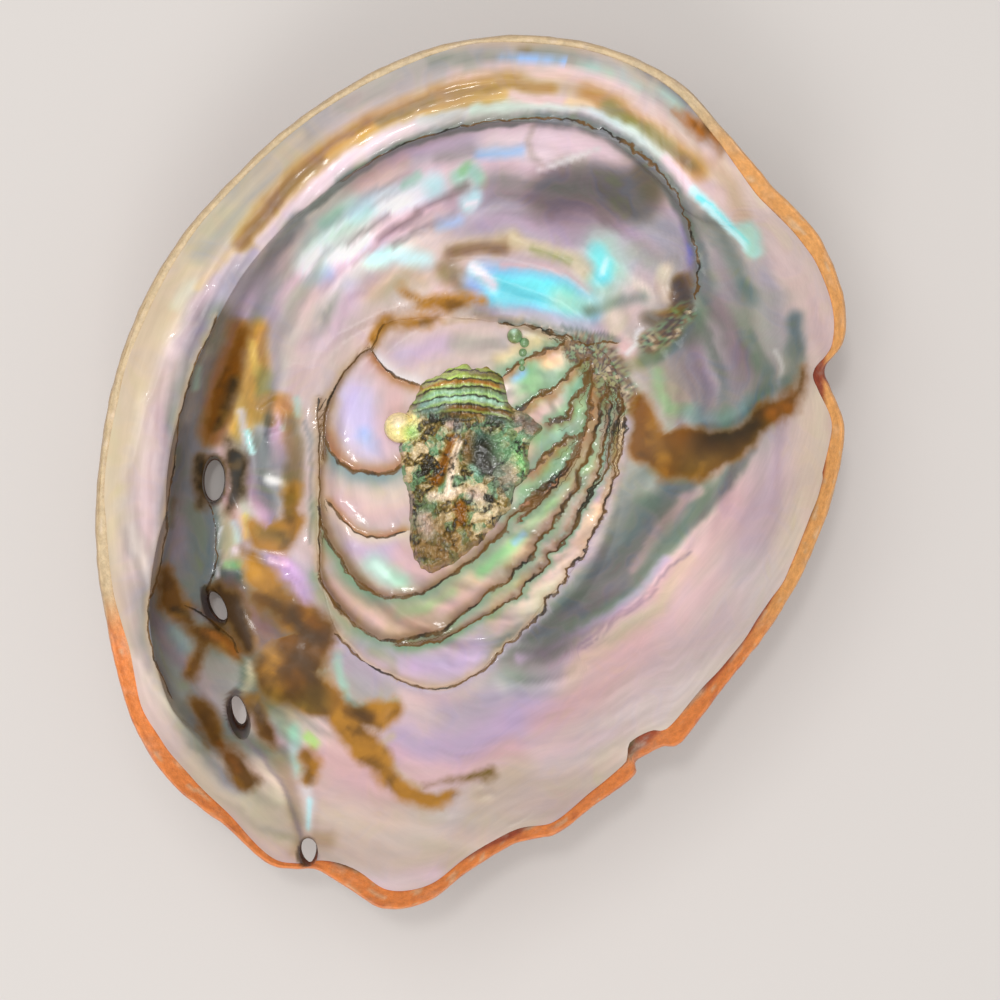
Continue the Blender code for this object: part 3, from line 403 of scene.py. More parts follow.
    ("cyanWhite", 4, 0.9, 0.9, [(284, 428), (290, 424)]),
    ("mint", 4, 1.0, 0.8, [(298, 398), (300, 414)]),
    ("olive", 10, 0.8, 0.95, [(292, 422), (293, 450), (290, 490)]),
    ("sand", 11, 0.9, 0.9, [(228, 514), (233, 540), (230, 562)]),
    ("mintWhite", 5, 0.9, 0.9, [(234, 524), (238, 540)]),
    ("pinkWhite", 5, 0.9, 0.95, [(236, 551)]),
    ("leaf", 6, 0.9, 0.8, [(226, 566), (238, 566)]),
    ("deepTeal", 6, 0.9, 0.9, [(222, 575), (242, 577)]),
    # Painted highlight: a thin white line on the lit side of the ridge below the first hole
    ("white", 1.8, 0.6, 0.9, [(220, 530), (220, 560), (214, 578)]),
    ("yellowGold", 5, 1.0, 0.8, [(245, 518), (246, 536)]),
    ("darkBrown", 19, 0.7, 0.95, [(228, 596), (232, 615), (240, 634)]),
    ("lilac", 10, 0.9, 0.9, [(272, 562), (288, 568), (300, 592), (308, 606)]),
    ("pinkWhite", 4, 0.9, 0.95, [(272, 562), (284, 565)]),
    ("slate", 2.4, 0.8, 0.7, [(308, 420), (309, 480), (311, 540)]),
    # Painted highlight: a pale line beside the scar's left outline
    ("pearl", 2, 0.8, 0.8, [(313, 440), (313, 500), (315, 560)]),
    ("brown", 28, 1.0, 0.85, [(262, 620), (290, 640), (300, 660), (290, 690)]),

    # Lower left: folds below the ledge and round the lower holes
    ("slate", 26, 0.9, 0.85, [(160, 600), (166, 650), (184, 700), (206, 740)]),
    ("grey", 15, 1.0, 0.8, [(162, 640), (176, 660), (186, 690)]),
    ("teal", 9, 1.0, 0.7, [(176, 630), (184, 648)]),
    ("grey", 17, 0.8, 0.9, [(222, 672), (226, 684), (232, 668)]),
    ("greenGrey", 5, 1.0, 0.8, [(240, 660), (243, 680), (236, 698)]),
    ("sand", 6, 1.0, 0.8, [(250, 664), (246, 688)]),
    ("mauveBrown", 11, 1.0, 0.8, [(256, 700), (262, 716), (270, 728)]),
    ("greenGrey", 13, 1.0, 0.8, [(224, 728), (240, 740), (262, 752), (276, 760)]),
    ("greenGrey", 10, 1.0, 0.7, [(280, 730), (290, 738), (284, 750)]),
    ("lime", 5, 1.0, 0.9, [(309, 736), (314, 744)]),
    ("mint", 7, 1.0, 0.7, [(296, 730), (294, 750), (298, 770)]),
    ("pearl", 7, 0.9, 0.8, [(303, 775), (306, 800), (307, 826)]),
    ("cyanWhite", 3, 1.0, 0.9, [(305, 800), (307, 828)]),
    ("tan", 10, 1.0, 0.7, [(279, 757), (288, 800), (296, 850)]),
    ("cream", 11, 1.0, 0.8, [(262, 764), (274, 782), (276, 800)]),
    ("cream", 18, 1.0, 0.8, [(245, 800), (263, 820), (276, 838)]),
    ("tan", 10, 1.0, 0.8, [(300, 850), (310, 840), (330, 842)]),
    ("mauveBrown", 5, 1.0, 0.6, [(304, 856), (314, 858)]),
    ("lilacGrey", 11, 1.0, 0.8, [(214, 764), (224, 776), (236, 784)]),
    ("cream", 16, 1.0, 0.8, [(150, 690), (170, 730), (190, 760), (216, 800)]),
    ("blush", 12, 1.0, 0.7, [(138, 660), (152, 704), (176, 746)]),
    ("mauve", 3, 1.0, 0.6, [(240, 738), (262, 754), (284, 790), (300, 840)]),

    # Muscle scar: pale plates on the left, green and pink bands on the right
    ("greyPink", 56, 0.8, 0.95, [(360, 410), (365, 470), (370, 530), (390, 580)]),
    ("paleLilac", 26, 1.0, 0.9, [(354, 400), (360, 430), (372, 440)]),
    ("sky", 9, 1.0, 0.5, [(362, 436), (374, 446)]),
    ("rose", 16, 1.0, 0.7, [(378, 360), (394, 400), (385, 445)]),
    ("rose", 18, 1.0, 0.8, [(350, 500), (380, 505), (400, 500)]),
    ("cream", 15, 1.0, 0.7, [(352, 484), (372, 496), (398, 490)]),
    ("lilac", 12, 1.0, 0.8, [(352, 545), (372, 556), (390, 550)]),
    ("rose", 13, 1.0, 0.8, [(400, 552), (416, 566), (440, 572)]),
    ("mint", 13, 1.0, 0.8, [(372, 566), (384, 578), (396, 584)]),
    ("mintWhite", 6, 1.0, 0.8, [(374, 566), (384, 574)]),
    ("bandSand", 26, 0.9, 0.95, [(340, 600), (380, 620), (430, 618), (475, 588), (520, 545),
                                 (560, 480)]),
    ("bandSand", 20, 0.9, 0.85, [(500, 610), (550, 570), (590, 510), (610, 450)]),
    ("bandSand", 30, 1.0, 0.8, [(530, 370), (580, 380), (560, 430), (530, 460)]),
    ("rose", 11, 1.0, 0.8, [(334, 590), (350, 612), (376, 626)]),
    ("leaf", 8, 1.0, 0.45, [(400, 612), (424, 608), (450, 594)]),
    ("rose", 9, 1.0, 0.6, [(440, 612), (470, 596), (500, 570)]),
    ("lilacGrey", 18, 1.0, 0.85, [(368, 650), (400, 664), (440, 664), (480, 644)]),
    ("lilac", 11, 1.0, 0.8, [(420, 664), (456, 666), (476, 652)]),
    ("oliveGreen", 7, 1.0, 0.35, [(372, 652), (388, 662), (392, 672)]),
    ("rose", 9, 1.0, 0.7, [(500, 630), (530, 600), (556, 572)]),
    ("cream", 10, 1.0, 0.8, [(524, 612), (550, 590), (580, 552), (600, 510)]),
    ("mint", 20, 1.0, 0.75, [(520, 372), (560, 388), (580, 410), (560, 450)]),
    ("leaf", 13, 1.0, 0.8, [(526, 374), (534, 388), (524, 402)]),
    ("sky", 6, 1.0, 0.9, [(512, 378), (520, 374)]),
    ("pinkWhite", 8, 1.0, 0.9, [(556, 358), (570, 348), (580, 346)]),
    ("paleOrange", 7, 1.0, 0.8, [(544, 366), (556, 362)]),
    ("rose", 7, 1.0, 0.8, [(514, 404), (524, 400)]),
    ("paleOrange", 9, 1.0, 0.7, [(500, 360), (512, 352), (540, 340)]),
    ("lilac", 13, 1.0, 0.7, [(400, 352), (425, 346), (440, 344)]),
    ("grey", 11, 1.0, 0.6, [(455, 344), (480, 346), (500, 342)]),
    ("leaf", 9, 1.0, 0.8, [(538, 436), (556, 424), (572, 410)]),
    ("mint", 8, 1.0, 0.8, [(548, 444), (566, 430)]),
    ("rose", 8, 1.0, 0.7, [(540, 414), (560, 402)]),
    ("cyan", 5, 1.0, 0.5, [(584, 380), (578, 396)]),
    ("leaf", 10, 1.0, 0.75, [(526, 490), (548, 474), (572, 442)]),
    ("mint", 8, 1.0, 0.8, [(504, 520), (532, 500), (560, 482), (578, 462)]),
    ("rose", 9, 1.0, 0.7, [(492, 556), (516, 538), (540, 514)]),
    ("leaf", 8, 1.0, 0.7, [(480, 570), (506, 552), (530, 526), (552, 500)]),
    ("sky", 4, 1.0, 0.6, [(514, 544), (524, 534)]),
    ("lime", 7, 1.0, 0.6, [(588, 400), (592, 430), (582, 470)]),
    ("mint", 4, 1.0, 0.8, [(586, 440), (596, 410), (598, 392)]),
    ("rose", 6, 1.0, 0.7, [(600, 470), (594, 500), (576, 530), (556, 556)]),
    ("mint", 3.5, 1.0, 0.8, [(604, 450), (600, 476), (584, 508), (560, 540)]),
    ("paleOrange", 8, 1.0, 0.6, [(620, 420), (616, 460), (602, 500), (584, 540)]),
    ("lilac", 6, 1.0, 0.6, [(612, 440), (606, 470), (596, 500)]),
    ("oliveGreen", 9, 1.0, 0.5, [(600, 360), (618, 376), (622, 396)]),
    ("tan", 9, 1.0, 0.6, [(330, 400), (322, 450), (321, 500), (322, 560)]),
]

# Stains with a crisp edge: tone, then places and radii in pixels.
stains = [
    ("amber", [(641, 402, 7), (645, 425, 13), (652, 448, 20), (668, 456, 25), (690, 456, 26),
               (712, 452, 22), (730, 444, 15), (750, 428, 12), (768, 414, 12), (785, 403, 12),
               (797, 390, 8), (801, 372, 4)]),
    ("ochre", [(335, 704, 7), (352, 713, 12), (375, 717, 13), (394, 708, 8)]),
    ("ochre", [(322, 690, 12), (340, 712, 12), (354, 734, 16), (368, 750, 14), (385, 771, 11),
               (402, 786, 9), (420, 797, 8), (438, 801, 7), (452, 795, 4)]),
    ("olive", [(426, 786, 2), (455, 779, 3), (474, 775, 4), (490, 774, 3)]),
    ("brown", [(262, 600, 9), (290, 616, 17), (318, 634, 17), (300, 652, 27), (280, 676, 28),
               (302, 690, 23), (330, 702, 14)]),
    ("ochre", [(252, 556, 8), (262, 580, 12), (276, 596, 12), (290, 610, 9)]),
    ("ochre", [(288, 496, 8), (294, 520, 13), (280, 538, 15), (262, 540, 12), (252, 524, 5)]),
    ("darkBrown", [(216, 588, 8), (230, 606, 16), (240, 626, 13), (248, 644, 7)]),
    ("amber", [(244, 334, 6), (233, 356, 9), (225, 382, 10), (217, 408, 11), (210, 432, 9),
               (206, 446, 4)]),
    ("nearBlack", [(228, 440, 4), (236, 464, 9), (236, 490, 9), (227, 508, 5)]),
    ("nearBlack", [(199, 460, 4), (197, 480, 4), (202, 504, 4)]),
    ("brown", [(166, 572, 8), (172, 600, 13), (190, 620, 8)]),
    ("brown", [(194, 626, 7), (211, 634, 12), (228, 644, 9), (236, 656, 4)]),
    ("brown", [(202, 640, 6), (194, 660, 7), (190, 676, 4)]),
    ("brown", [(200, 704, 9), (208, 722, 10), (220, 742, 10), (236, 764, 12), (247, 780, 8)]),
    ("brown", [(252, 700, 10), (262, 722, 10), (272, 738, 8)]),
    ("ochre", [(306, 752, 6), (311, 764, 7), (304, 778, 5)]),
    ("orangeBrown", [(674, 110, 2), (695, 126, 4), (710, 135, 6), (724, 146, 5)]),
    ("ochre", [(374, 336, 4), (386, 322, 8), (406, 322, 8), (426, 321, 6), (434, 318, 3)]),
    ("ochre", [(402, 287, 3), (420, 300, 4), (450, 304, 7), (470, 298, 6), (484, 301, 3)]),
    ("orangeBrown", [(98, 628, 2), (104, 650, 3)]),
]

# Strokes of colour inside the stains.
stainStrokes = [
    ("olive", 16, 1.0, 0.8, [(690, 466), (727, 446), (752, 428)]),
    ("brown", 22, 1.0, 0.6, [(656, 452), (690, 458), (724, 448)]),
    ("darkBrown", 17, 1.0, 0.95, [(704, 442), (727, 440), (750, 424)]),
    ("nearBlack", 8, 1.0, 0.6, [(712, 438), (730, 436), (750, 424)]),
    ("ochre", 7, 1.0, 0.5, [(652, 404), (656, 430), (664, 462)]),
    ("darkBrown", 6, 1.0, 0.7, [(760, 412), (778, 394), (794, 374)]),
    ("orangeBrown", 9, 1.0, 0.8, [(772, 412), (792, 398)]),
    ("brown", 8, 0.8, 0.8, [(350, 706), (366, 716)]),
    ("darkBrown", 6, 1.0, 0.5, [(356, 710), (364, 716)]),
    ("amber", 24, 1.0, 0.7, [(280, 626), (302, 650), (296, 680)]),
    ("amber", 10, 1.0, 0.8, [(298, 614), (318, 632), (326, 640)]),
    ("gold", 10, 1.0, 0.6, [(268, 670), (276, 690), (272, 700)]),
    ("darkBrown", 8, 0.9, 0.9, [(252, 660), (260, 650), (268, 646)]),
    ("darkBrown", 9, 1.0, 0.8, [(290, 616), (304, 636), (322, 640)]),
    ("darkBrown", 10, 1.0, 0.7, [(296, 660), (310, 668), (318, 690)]),
    ("gold", 8, 1.0, 0.7, [(262, 640), (276, 660)]),
    ("olive", 14, 1.0, 0.7, [(262, 700), (290, 712), (316, 700)]),
    ("gold", 8, 1.0, 0.8, [(250, 564), (258, 576)]),
    ("olive", 9, 1.0, 0.7, [(288, 496), (270, 512), (286, 510)]),
    ("olive", 9, 1.0, 0.7, [(262, 530), (284, 536)]),
    ("nearBlack", 6, 1.0, 0.8, [(234, 380), (228, 404), (216, 430)]),
    ("orangeBrown", 5, 1.0, 0.8, [(206, 628), (226, 642), (234, 652)]),
    ("nearBlack", 4, 1.0, 0.7, [(176, 606), (200, 618), (222, 630)]),
    ("orangeBrown", 6, 1.0, 0.6, [(222, 744), (238, 768)]),
    ("mauveBrown", 8, 1.0, 0.7, [(252, 700), (262, 716)]),
    ("darkBrown", 3, 1.0, 0.8, [(700, 126), (712, 131), (726, 140)]),
    ("darkBrown", 4, 1.0, 0.6, [(202, 612), (220, 626)]),
]

# Edges of the layers in the muscle scar, and a few painted shade lines along the ledge and a ridge,
# each with the middle on the left of its run: half width in pixels, tone inside it, tone outside it,
# points.
layerEdgesAndShadeLines = [
    (2.0, "orangeBrown", "pearl", [(418, 384), (407, 380), (394, 375), (384, 366), (376, 357),
                                   (371, 348)]),
    (2.8, "orangeBrown", "teal", [(325, 439), (330, 452), (339, 464), (353, 472), (376, 475),
                                  (394, 472), (402, 468)]),
    (1.6, "orangeBrown", "cream", [(329, 503), (343, 520), (355, 532), (367, 538), (386, 537),
                                   (404, 531)]),
    (2.2, "brown", "bandGreen", [(318, 506), (321, 525), (329, 542), (341, 557), (348, 573),
                               (361, 585), (374, 595), (389, 599), (407, 597), (421, 594),
                               (435, 585), (450, 575), (463, 565), (478, 557), (489, 545),
                               (504, 531), (512, 517), (529, 505), (547, 486)]),
    (2.2, "brown", "bandGreen", [(318, 576), (327, 592), (339, 608), (355, 625), (367, 633),
                               (381, 640), (399, 642), (418, 639), (432, 634), (448, 629),
                               (460, 615), (476, 604), (488, 592), (501, 583), (510, 579),
                               (514, 569), (526, 563), (535, 551), (538, 541), (549, 531),
                               (558, 514), (565, 502), (575, 491), (577, 489), (581, 466),
                               (590, 450), (595, 432), (602, 415), (602, 402), (608, 393)]),
    (1.5, "brown", "bandGreen", [(399, 647), (418, 647), (444, 639), (463, 629), (475, 623),
                               (495, 611), (507, 601), (524, 593), (526, 582), (539, 574),
                               (551, 565), (547, 556), (556, 551), (565, 539), (574, 528),
                               (585, 509), (592, 493), (595, 489), (608, 467), (610, 444),
                               (617, 425), (624, 412), (624, 402), (619, 389)]),
    (1.2, "brown", "bandGreen", [(560, 548), (572, 528), (586, 500), (596, 478), (602, 452),
                                 (609, 426), (612, 404), (606, 384)]),
    (1.2, "brown", "bandSand", [(600, 520), (608, 496), (614, 470), (617, 448), (621, 424),
                                (619, 402), (612, 384)]),
    (1.2, "brown", "bandGreen", [(520, 520), (536, 505), (556, 484), (568, 468), (579, 446),
                                 (586, 424), (594, 400)]),
    (1.5, "tan", "lilacGrey", [(337, 635), (347, 645), (361, 661), (374, 670), (392, 677),
                               (412, 685), (427, 689), (445, 688), (463, 681), (480, 673),
                               (492, 664), (498, 655), (514, 641), (526, 627), (544, 611),
                               (548, 600), (562, 586), (570, 577), (569, 568), (577, 564),
                               (585, 551), (592, 534), (602, 517), (606, 505), (612, 480),
                               (619, 473), (622, 450), (626, 435), (627, 421)]),
    (2.0, "orangeBrown", "bandGreen", [(561, 344), (542, 352), (521, 361), (502, 376)]),
    (2.4, "orangeBrown", "bandGreen", [(588, 358), (579, 366), (566, 379), (554, 389), (536, 397),
                                  (516, 412)]),
    (2.2, "brown", "bandGreen", [(590, 369), (588, 379), (582, 392), (571, 404), (567, 417),
                            (548, 422)]),
    (2.6, "orangeBrown", "bandGreen", [(575, 436), (565, 438), (547, 454), (531, 471)]),
    (2.4, "orangeBrown", "bandGreen", [(594, 372), (591, 410), (583, 436), (571, 456), (561, 473),
                                       (542, 489), (526, 501)]),
    (1.3, "brown", "tan", [(318, 400), (318, 460), (319, 520), (319, 570), (325, 589), (335, 606),
                           (352, 622)]),
    (1.3, "brown", "tan", [(385, 324), (371, 347), (360, 352), (342, 374), (332, 392), (325, 412),
                           (323, 431), (322, 459)]),
    # Painted shade: the dark line along the ledge's inner edge on the left, with slate shade inside
    # it
    (1.2, "slate", "tan", [(216, 318), (199, 352), (187, 390), (178, 430), (171, 480), (167, 530),
                           (160, 570), (150, 600), (148, 625), (155, 660), (172, 696)]),
    # Painted shade: the dark line on the shaded side of the ridge below the first hole
    (1.3, "greenGrey", "slate", [(207, 500), (216, 528), (218, 556), (210, 580), (206, 592)]),
    (1.2, "mauveBrown", "brown", [(236, 650), (232, 638), (218, 626), (200, 612), (184, 604)]),
    # Painted shade: the thin dark line where the ledge's inner edge overhangs the spire's roof
    (1.3, "slate", "greenGrey", [(696, 296), (699, 270), (696, 246), (688, 220), (674, 190),
                                 (655, 166), (630, 145), (602, 130), (575, 121), (540, 117),
                                 (500, 119), (460, 125), (420, 138), (380, 156), (340, 181)]),
    (1.2, "tan", "greenGrey", [(617, 342), (584, 345), (560, 337), (535, 329), (500, 322)]),
]

# Low ridges and grooves of the inside: height, width, points on the photograph.
ridges = [
    (0.3, 5.0, [(378, 322), (352, 348), (334, 370), (318, 405), (311, 460), (310, 540)]),
    (0.7, 5.0, [(372, 240), (411, 214), (462, 184)]),
    (-0.7, 6.0, [(330, 292), (352, 264), (384, 234), (430, 226)]),
    (0.6, 6.0, [(340, 276), (372, 246), (410, 230)]),
    (0.8, 6.0, [(468, 268), (510, 282), (560, 300), (590, 320)]),
    (-0.8, 7.0, [(450, 258), (500, 256), (550, 270), (590, 296)]),
    (0.5, 5.0, [(510, 238), (543, 250), (584, 266), (606, 290)]),
    (0.5, 3.0, [(538, 130), (529, 143), (534, 158)]),
    (-1.4, 7.0, [(681, 286), (679, 296)]),
    (0.6, 3.5, [(664, 272), (660, 288), (668, 306)]),
    (0.8, 5.0, [(436, 306), (456, 296), (482, 300)]),
    (-0.5, 4.0, [(402, 300), (440, 318), (493, 312)]),
    (0.5, 2.5, [(650, 318), (664, 326), (676, 344)]),
    (0.5, 2.5, [(640, 326), (652, 340), (662, 356)]),
    (0.4, 2.5, [(630, 336), (640, 350), (646, 366)]),
    (0.6, 6.0, [(258, 350), (250, 380), (240, 416)]),
    (-0.6, 6.0, [(232, 360), (224, 400), (212, 436)]),
    (0.7, 4.0, [(262, 410), (274, 402), (288, 412), (286, 430), (270, 436)]),
    (-0.7, 4.0, [(271, 420), (273, 426)]),
    (0.6, 5.0, [(249, 436), (254, 470), (250, 500)]),
    (0.4, 5.0, [(262, 476), (280, 470), (290, 484)]),
    (0.8, 4.0, [(222, 520), (222, 545), (215, 578)]),
    (-0.6, 6.0, [(232, 574), (242, 580)]),
    (0.5, 5.0, [(240, 552), (262, 560), (284, 566)]),
    (0.9, 6.0, [(201, 612), (222, 640), (240, 662), (242, 690)]),
    (-0.8, 6.0, [(176, 640), (200, 690), (226, 720)]),
    (0.9, 6.0, [(218, 716), (244, 738), (274, 766), (290, 812), (298, 852)]),
    (-0.7, 6.0, [(270, 728), (292, 760), (302, 820)]),
    (0.5, 5.0, [(306, 760), (310, 800), (312, 838)]),
    (1.0, 3.6, [(482, 797), (490, 795)]),
    (0.7, 2.4, [(480, 785), (481, 786)]),
    (0.4, 1.8, [(448, 814), (449, 815)]),
    (0.35, 2.0, [(510, 824), (520, 820), (532, 812)]),
    (0.5, 4.0, [(722, 160), (748, 182), (768, 212)]),
    (0.4, 3.0, [(420, 116), (470, 102), (530, 98), (590, 108), (640, 132)]),
    (-0.35, 3.0, [(430, 90), (480, 78), (560, 76), (620, 96)]),
    (0.35, 2.5, [(450, 74), (500, 62), (566, 62), (620, 78), (670, 104)]),
    (0.3, 3.0, [(120, 560), (128, 480), (146, 410), (172, 345), (210, 290)]),
    (0.5, 6.0, [(690, 430), (722, 436), (752, 414), (778, 392)]),
    (0.35, 5.0, [(392, 706), (384, 745), (400, 776), (430, 790)]),
]


def cubic(a, b, c, d, f):
    return b + 0.5 * f * (c - a + f * (2 * a - 5 * b + 4 * c - d + f * (3 * (b - c) + d - a)))


def around(knots, angle):            # smooth periodic curve through (degrees, value) knots
    knots = np.array(knots, float)
    at = np.concatenate([knots[:, 0] + turn for turn in (-720, -360, 0, 360, 720)])
    value = np.tile(knots[:, 1], 5)
    slope = np.gradient(value, at)
    angle = np.degrees(angle) % 360
    i = np.searchsorted(at, angle, side="right") - 1
    span = at[i + 1] - at[i]
    f = (angle - at[i]) / span
    return ((1 + 2 * f) * (1 - f) ** 2 * value[i] + f * (1 - f) ** 2 * span * slope[i]
            + f * f * (3 - 2 * f) * value[i + 1] + f * f * (f - 1) * span * slope[i + 1])


def smoothClosed(points, steps=12):
    p = np.array(points, float)
    a, c, d = (np.roll(p, shift, axis=0) for shift in (1, -1, -2))
    f = np.arange(steps) / steps
    return np.concatenate([cubic(a[i], p[i], c[i], d[i], f[:, None]) for i in range(len(p))])


def polar(points, angle, column=None):
    p = np.array(points, float)
    at = np.arctan2(p[:, 1], p[:, 0]) % (2 * math.pi)
    order = np.argsort(at)
    value = np.hypot(p[:, 0], p[:, 1]) if column is None else p[:, column]
    return np.interp(angle % (2 * math.pi), at[order], value[order], period=2 * math.pi)


def ease(low, high, x):
    f = np.clip((x - low) / (high - low), 0, 1)
    return f * f * (3 - 2 * f)


def thinPlate(spots):                # smooth height field through spot heights
    spots = np.array(spots, float)
    xy, z = spots[:, :2] / 100, spots[:, 2]
    count = len(spots)

    def kernel(d2):
        return 0.5 * d2 * np.log(np.maximum(d2, 1e-12))

    system = np.zeros((count + 3, count + 3))
    system[:count, :count] = kernel(((xy[:, None] - xy[None]) ** 2).sum(2))
    system[:count, count] = system[count, :count] = 1
    system[:count, count + 1:] = xy
    system[count + 1:, :count] = xy.T
    weights = np.linalg.solve(system, np.concatenate([z, np.zeros(3)]))

    def height(x, y):
        p = np.stack([x.ravel(), y.ravel()], 1) / 100
        d2 = ((p[:, None] - xy[None]) ** 2).sum(2)
        z = kernel(d2) @ weights[:count] + weights[count] + p @ weights[count + 1:]
        return z.reshape(x.shape)

    return height


def along(line, x, y):               # signed distance to a line, and the place along it
    best = np.full(x.shape, 1e9)
    side = np.ones(x.shape)
    place = np.zeros(x.shape)
    for i, (a, b) in enumerate(zip(line, line[1:])):
        dx, dy = b[0] - a[0], b[1] - a[1]
        f = np.clip(((x - a[0]) * dx + (y - a[1]) * dy) / (dx * dx + dy * dy), 0, 1)
        d = np.hypot(x - a[0] - f * dx, y - a[1] - f * dy)
        near = d < best
        best = np.where(near, d, best)
        side = np.where(near, np.sign(dx * (y - a[1]) - dy * (x - a[0])), side)
        place = np.where(near, i + f, place)
    return best * side, place


noiseRows = 64                       # rows of a table of noise, after which it starts again


def noise(x, y, size, seed, wrap=noiseRows):         # soft noise from 0 to 1
    table = np.random.default_rng(seed).random((noiseRows, wrap))
    x, y = x / size, y / size
    i, j = np.floor(x).astype(int), np.floor(y).astype(int)
    f, g = x - i, y - j
    f, g = f * f * (3 - 2 * f), g * g * (3 - 2 * g)
    i, j, k, m = i % noiseRows, j % wrap, (i + 1) % noiseRows, (j + 1) % wrap
    low = table[i, j] * (1 - f) + table[k, j] * f
    high = table[i, m] * (1 - f) + table[k, m] * f
    return low * (1 - g) + high * g


def roundNoise(away, turn, count, seed):     # noise that closes after one turn, from 0 to 1
    return noise(away, turn * count, 1, seed, count)


def mottle(x, y, size, seed):        # two sizes of noise, from about -0.5 to 0.5
    return 0.66 * noise(x, y, size, seed) + 0.34 * noise(x, y, size / 2.3, seed + 1) - 0.5


def cells(x, y, size, seed):         # distance to the nearest and second grain, and its number
    rng = np.random.default_rng(seed)
    jx, jy, number = (rng.random((noiseRows, noiseRows)) for _ in range(3))
    x, y = x / size, y / size
    i, j = np.floor(x).astype(int), np.floor(y).astype(int)
    first = np.full(x.shape, 9.0)
    second = np.full(x.shape, 9.0)
    name = np.zeros(x.shape)
    for di in (-1, 0, 1):
        for dj in (-1, 0, 1):
            a, b = (i + di) % noiseRows, (j + dj) % noiseRows
            d = np.hypot(i + di + jx[a, b] - x, j + dj + jy[a, b] - y)
            second = np.minimum(second, np.maximum(first, d))
            name = np.where(d < first, number[a, b], name)
            first = np.minimum(first, d)
    return first, second, name


def ringAngle(u, v):                 # angle of a point of the square grid once it is round
    wide = np.abs(u) >= np.abs(v)
    ratio = np.where(wide, v / np.where(u == 0, 1, u), u / np.where(v == 0, 1, v))
    angle = np.where(wide, math.pi / 4 * ratio + np.where(u < 0, math.pi, 0),
                     math.pi / 2 - math.pi / 4 * ratio + np.where(v < 0, math.pi, 0))
    return angle % (2 * math.pi)


marginCurve = smoothClosed(shell["margin"])
chip = shell["chipWidth"]
roundAngles = np.radians(np.arange(0, 360, chip))
evenMargin = np.mean([polar(marginCurve, roundAngles + math.radians(turn))
                      for turn in range(-chip, chip + 1, 3)], axis=0)
evenMargin = np.stack([np.degrees(roundAngles), evenMargin], 1)
rimSpots = []
for degrees in shell["floorRimAngles"]:
    a = np.array(math.radians(degrees))
    r = float(polar(marginCurve, a))
    rimSpots.append((r * math.cos(a), r * math.sin(a), float(around(shell["marginHeight"], a))))
floorBase = thinPlate(shell["floor"] + rimSpots)


def turned(x, y, turn):              # a place seen from axes that are turned by some degrees
    c, s = math.cos(math.radians(turn)), math.sin(math.radians(turn))
    return c * x + s * y, c * y - s * x


def lumpHeight(x, y):
    high = np.zeros(x.shape)
    for cx, cy, rx, ry, turn, size in shell["crust"]:
        px, py = turned(x - cx, y - cy, turn)
        high = np.maximum(high, size * np.sqrt(np.clip(1 - (px / rx) ** 2 - (py / ry) ** 2, 0, 1)))
    return high


def floorHeight(x, y, lumps=1.0):
    z = floorBase(x, y)
    d, place = along(shell["crest"], x, y)
    size = np.interp(place, range(len(shell["crest"])), shell["crestHeight"])
    inner, outer = shell["crestRuns"]
    z = z + size * np.where(d > 0, np.exp(-d / outer), np.exp(d / inner))
    d, place = along(shell["lip"], x, y)
    size = np.interp(place, range(len(shell["lip"])), shell["lipHeight"])
    z = z + size * np.where(d > 0, np.exp(-d / shell["lipRun"]), 0) * ease(-0.2, 1.2, d)
    middle, radii = shell["scarMiddle"], shell["scarRadii"]
    across = np.hypot((x - middle[0]) / radii[0], (y - middle[1]) / radii[1])
    z = z + shell["scarRise"] * np.clip(1 - across ** 2, 0, 1)
    z = z - shell["scarDrop"] * ease(1.04, 0.96, across)
    return z + lumps * lumpHeight(x, y)


def through(knots, values, t, before):
    last = len(knots) - 1
    for i in range(last):
        f = np.clip((t - knots[i]) / (knots[i + 1] - knots[i]), 0, 1)
        piece = cubic(values[max(i - 1, 0)], values[i], values[i + 1], values[min(i + 2, last)], f)
        before = np.where(t > knots[i], piece, before)
    return before


def ringShare(t):
    rings, share = zip(*shell["ringReach"])
    return np.interp(t * shell["rings"], rings, share)


def reachAt(rim, angle, t):
    even = around(evenMargin, angle)
    return even + (rim - even) * ease(shell["chipReach"], 1, t)


def shelfPart(angle):
    degrees = np.degrees(angle) % 360
    ends = shell["shelfEnds"]
    return ease(*shell["shelfStarts"], degrees) * ease(ends[1], ends[0], degrees)


def onShelf(t, angle, plain, knots, runs, heights, heightAt):        # points, with the shelf in them
    low = runs[0] * np.minimum(ringShare(t) / ringShare(knots[0]), 1)
    r, z = plain
    shelf = shelfPart(angle)
    r = r + (through(knots, runs, t, low) - r) * shelf
    z = z + (through(knots, heights, t, heightAt(low)) - z) * shelf
    return np.stack([r * np.cos(angle), r * np.sin(angle), z], -1)


def shelfAt(angle):                  # edge of the shelf, its height, the wall's bulge and run
    curve = shell["shelfEdge"]
    return (polar(curve, angle), polar(curve, angle, 2), around(shell["wallBulge"], angle),
            around(shell["wallRun"], angle))


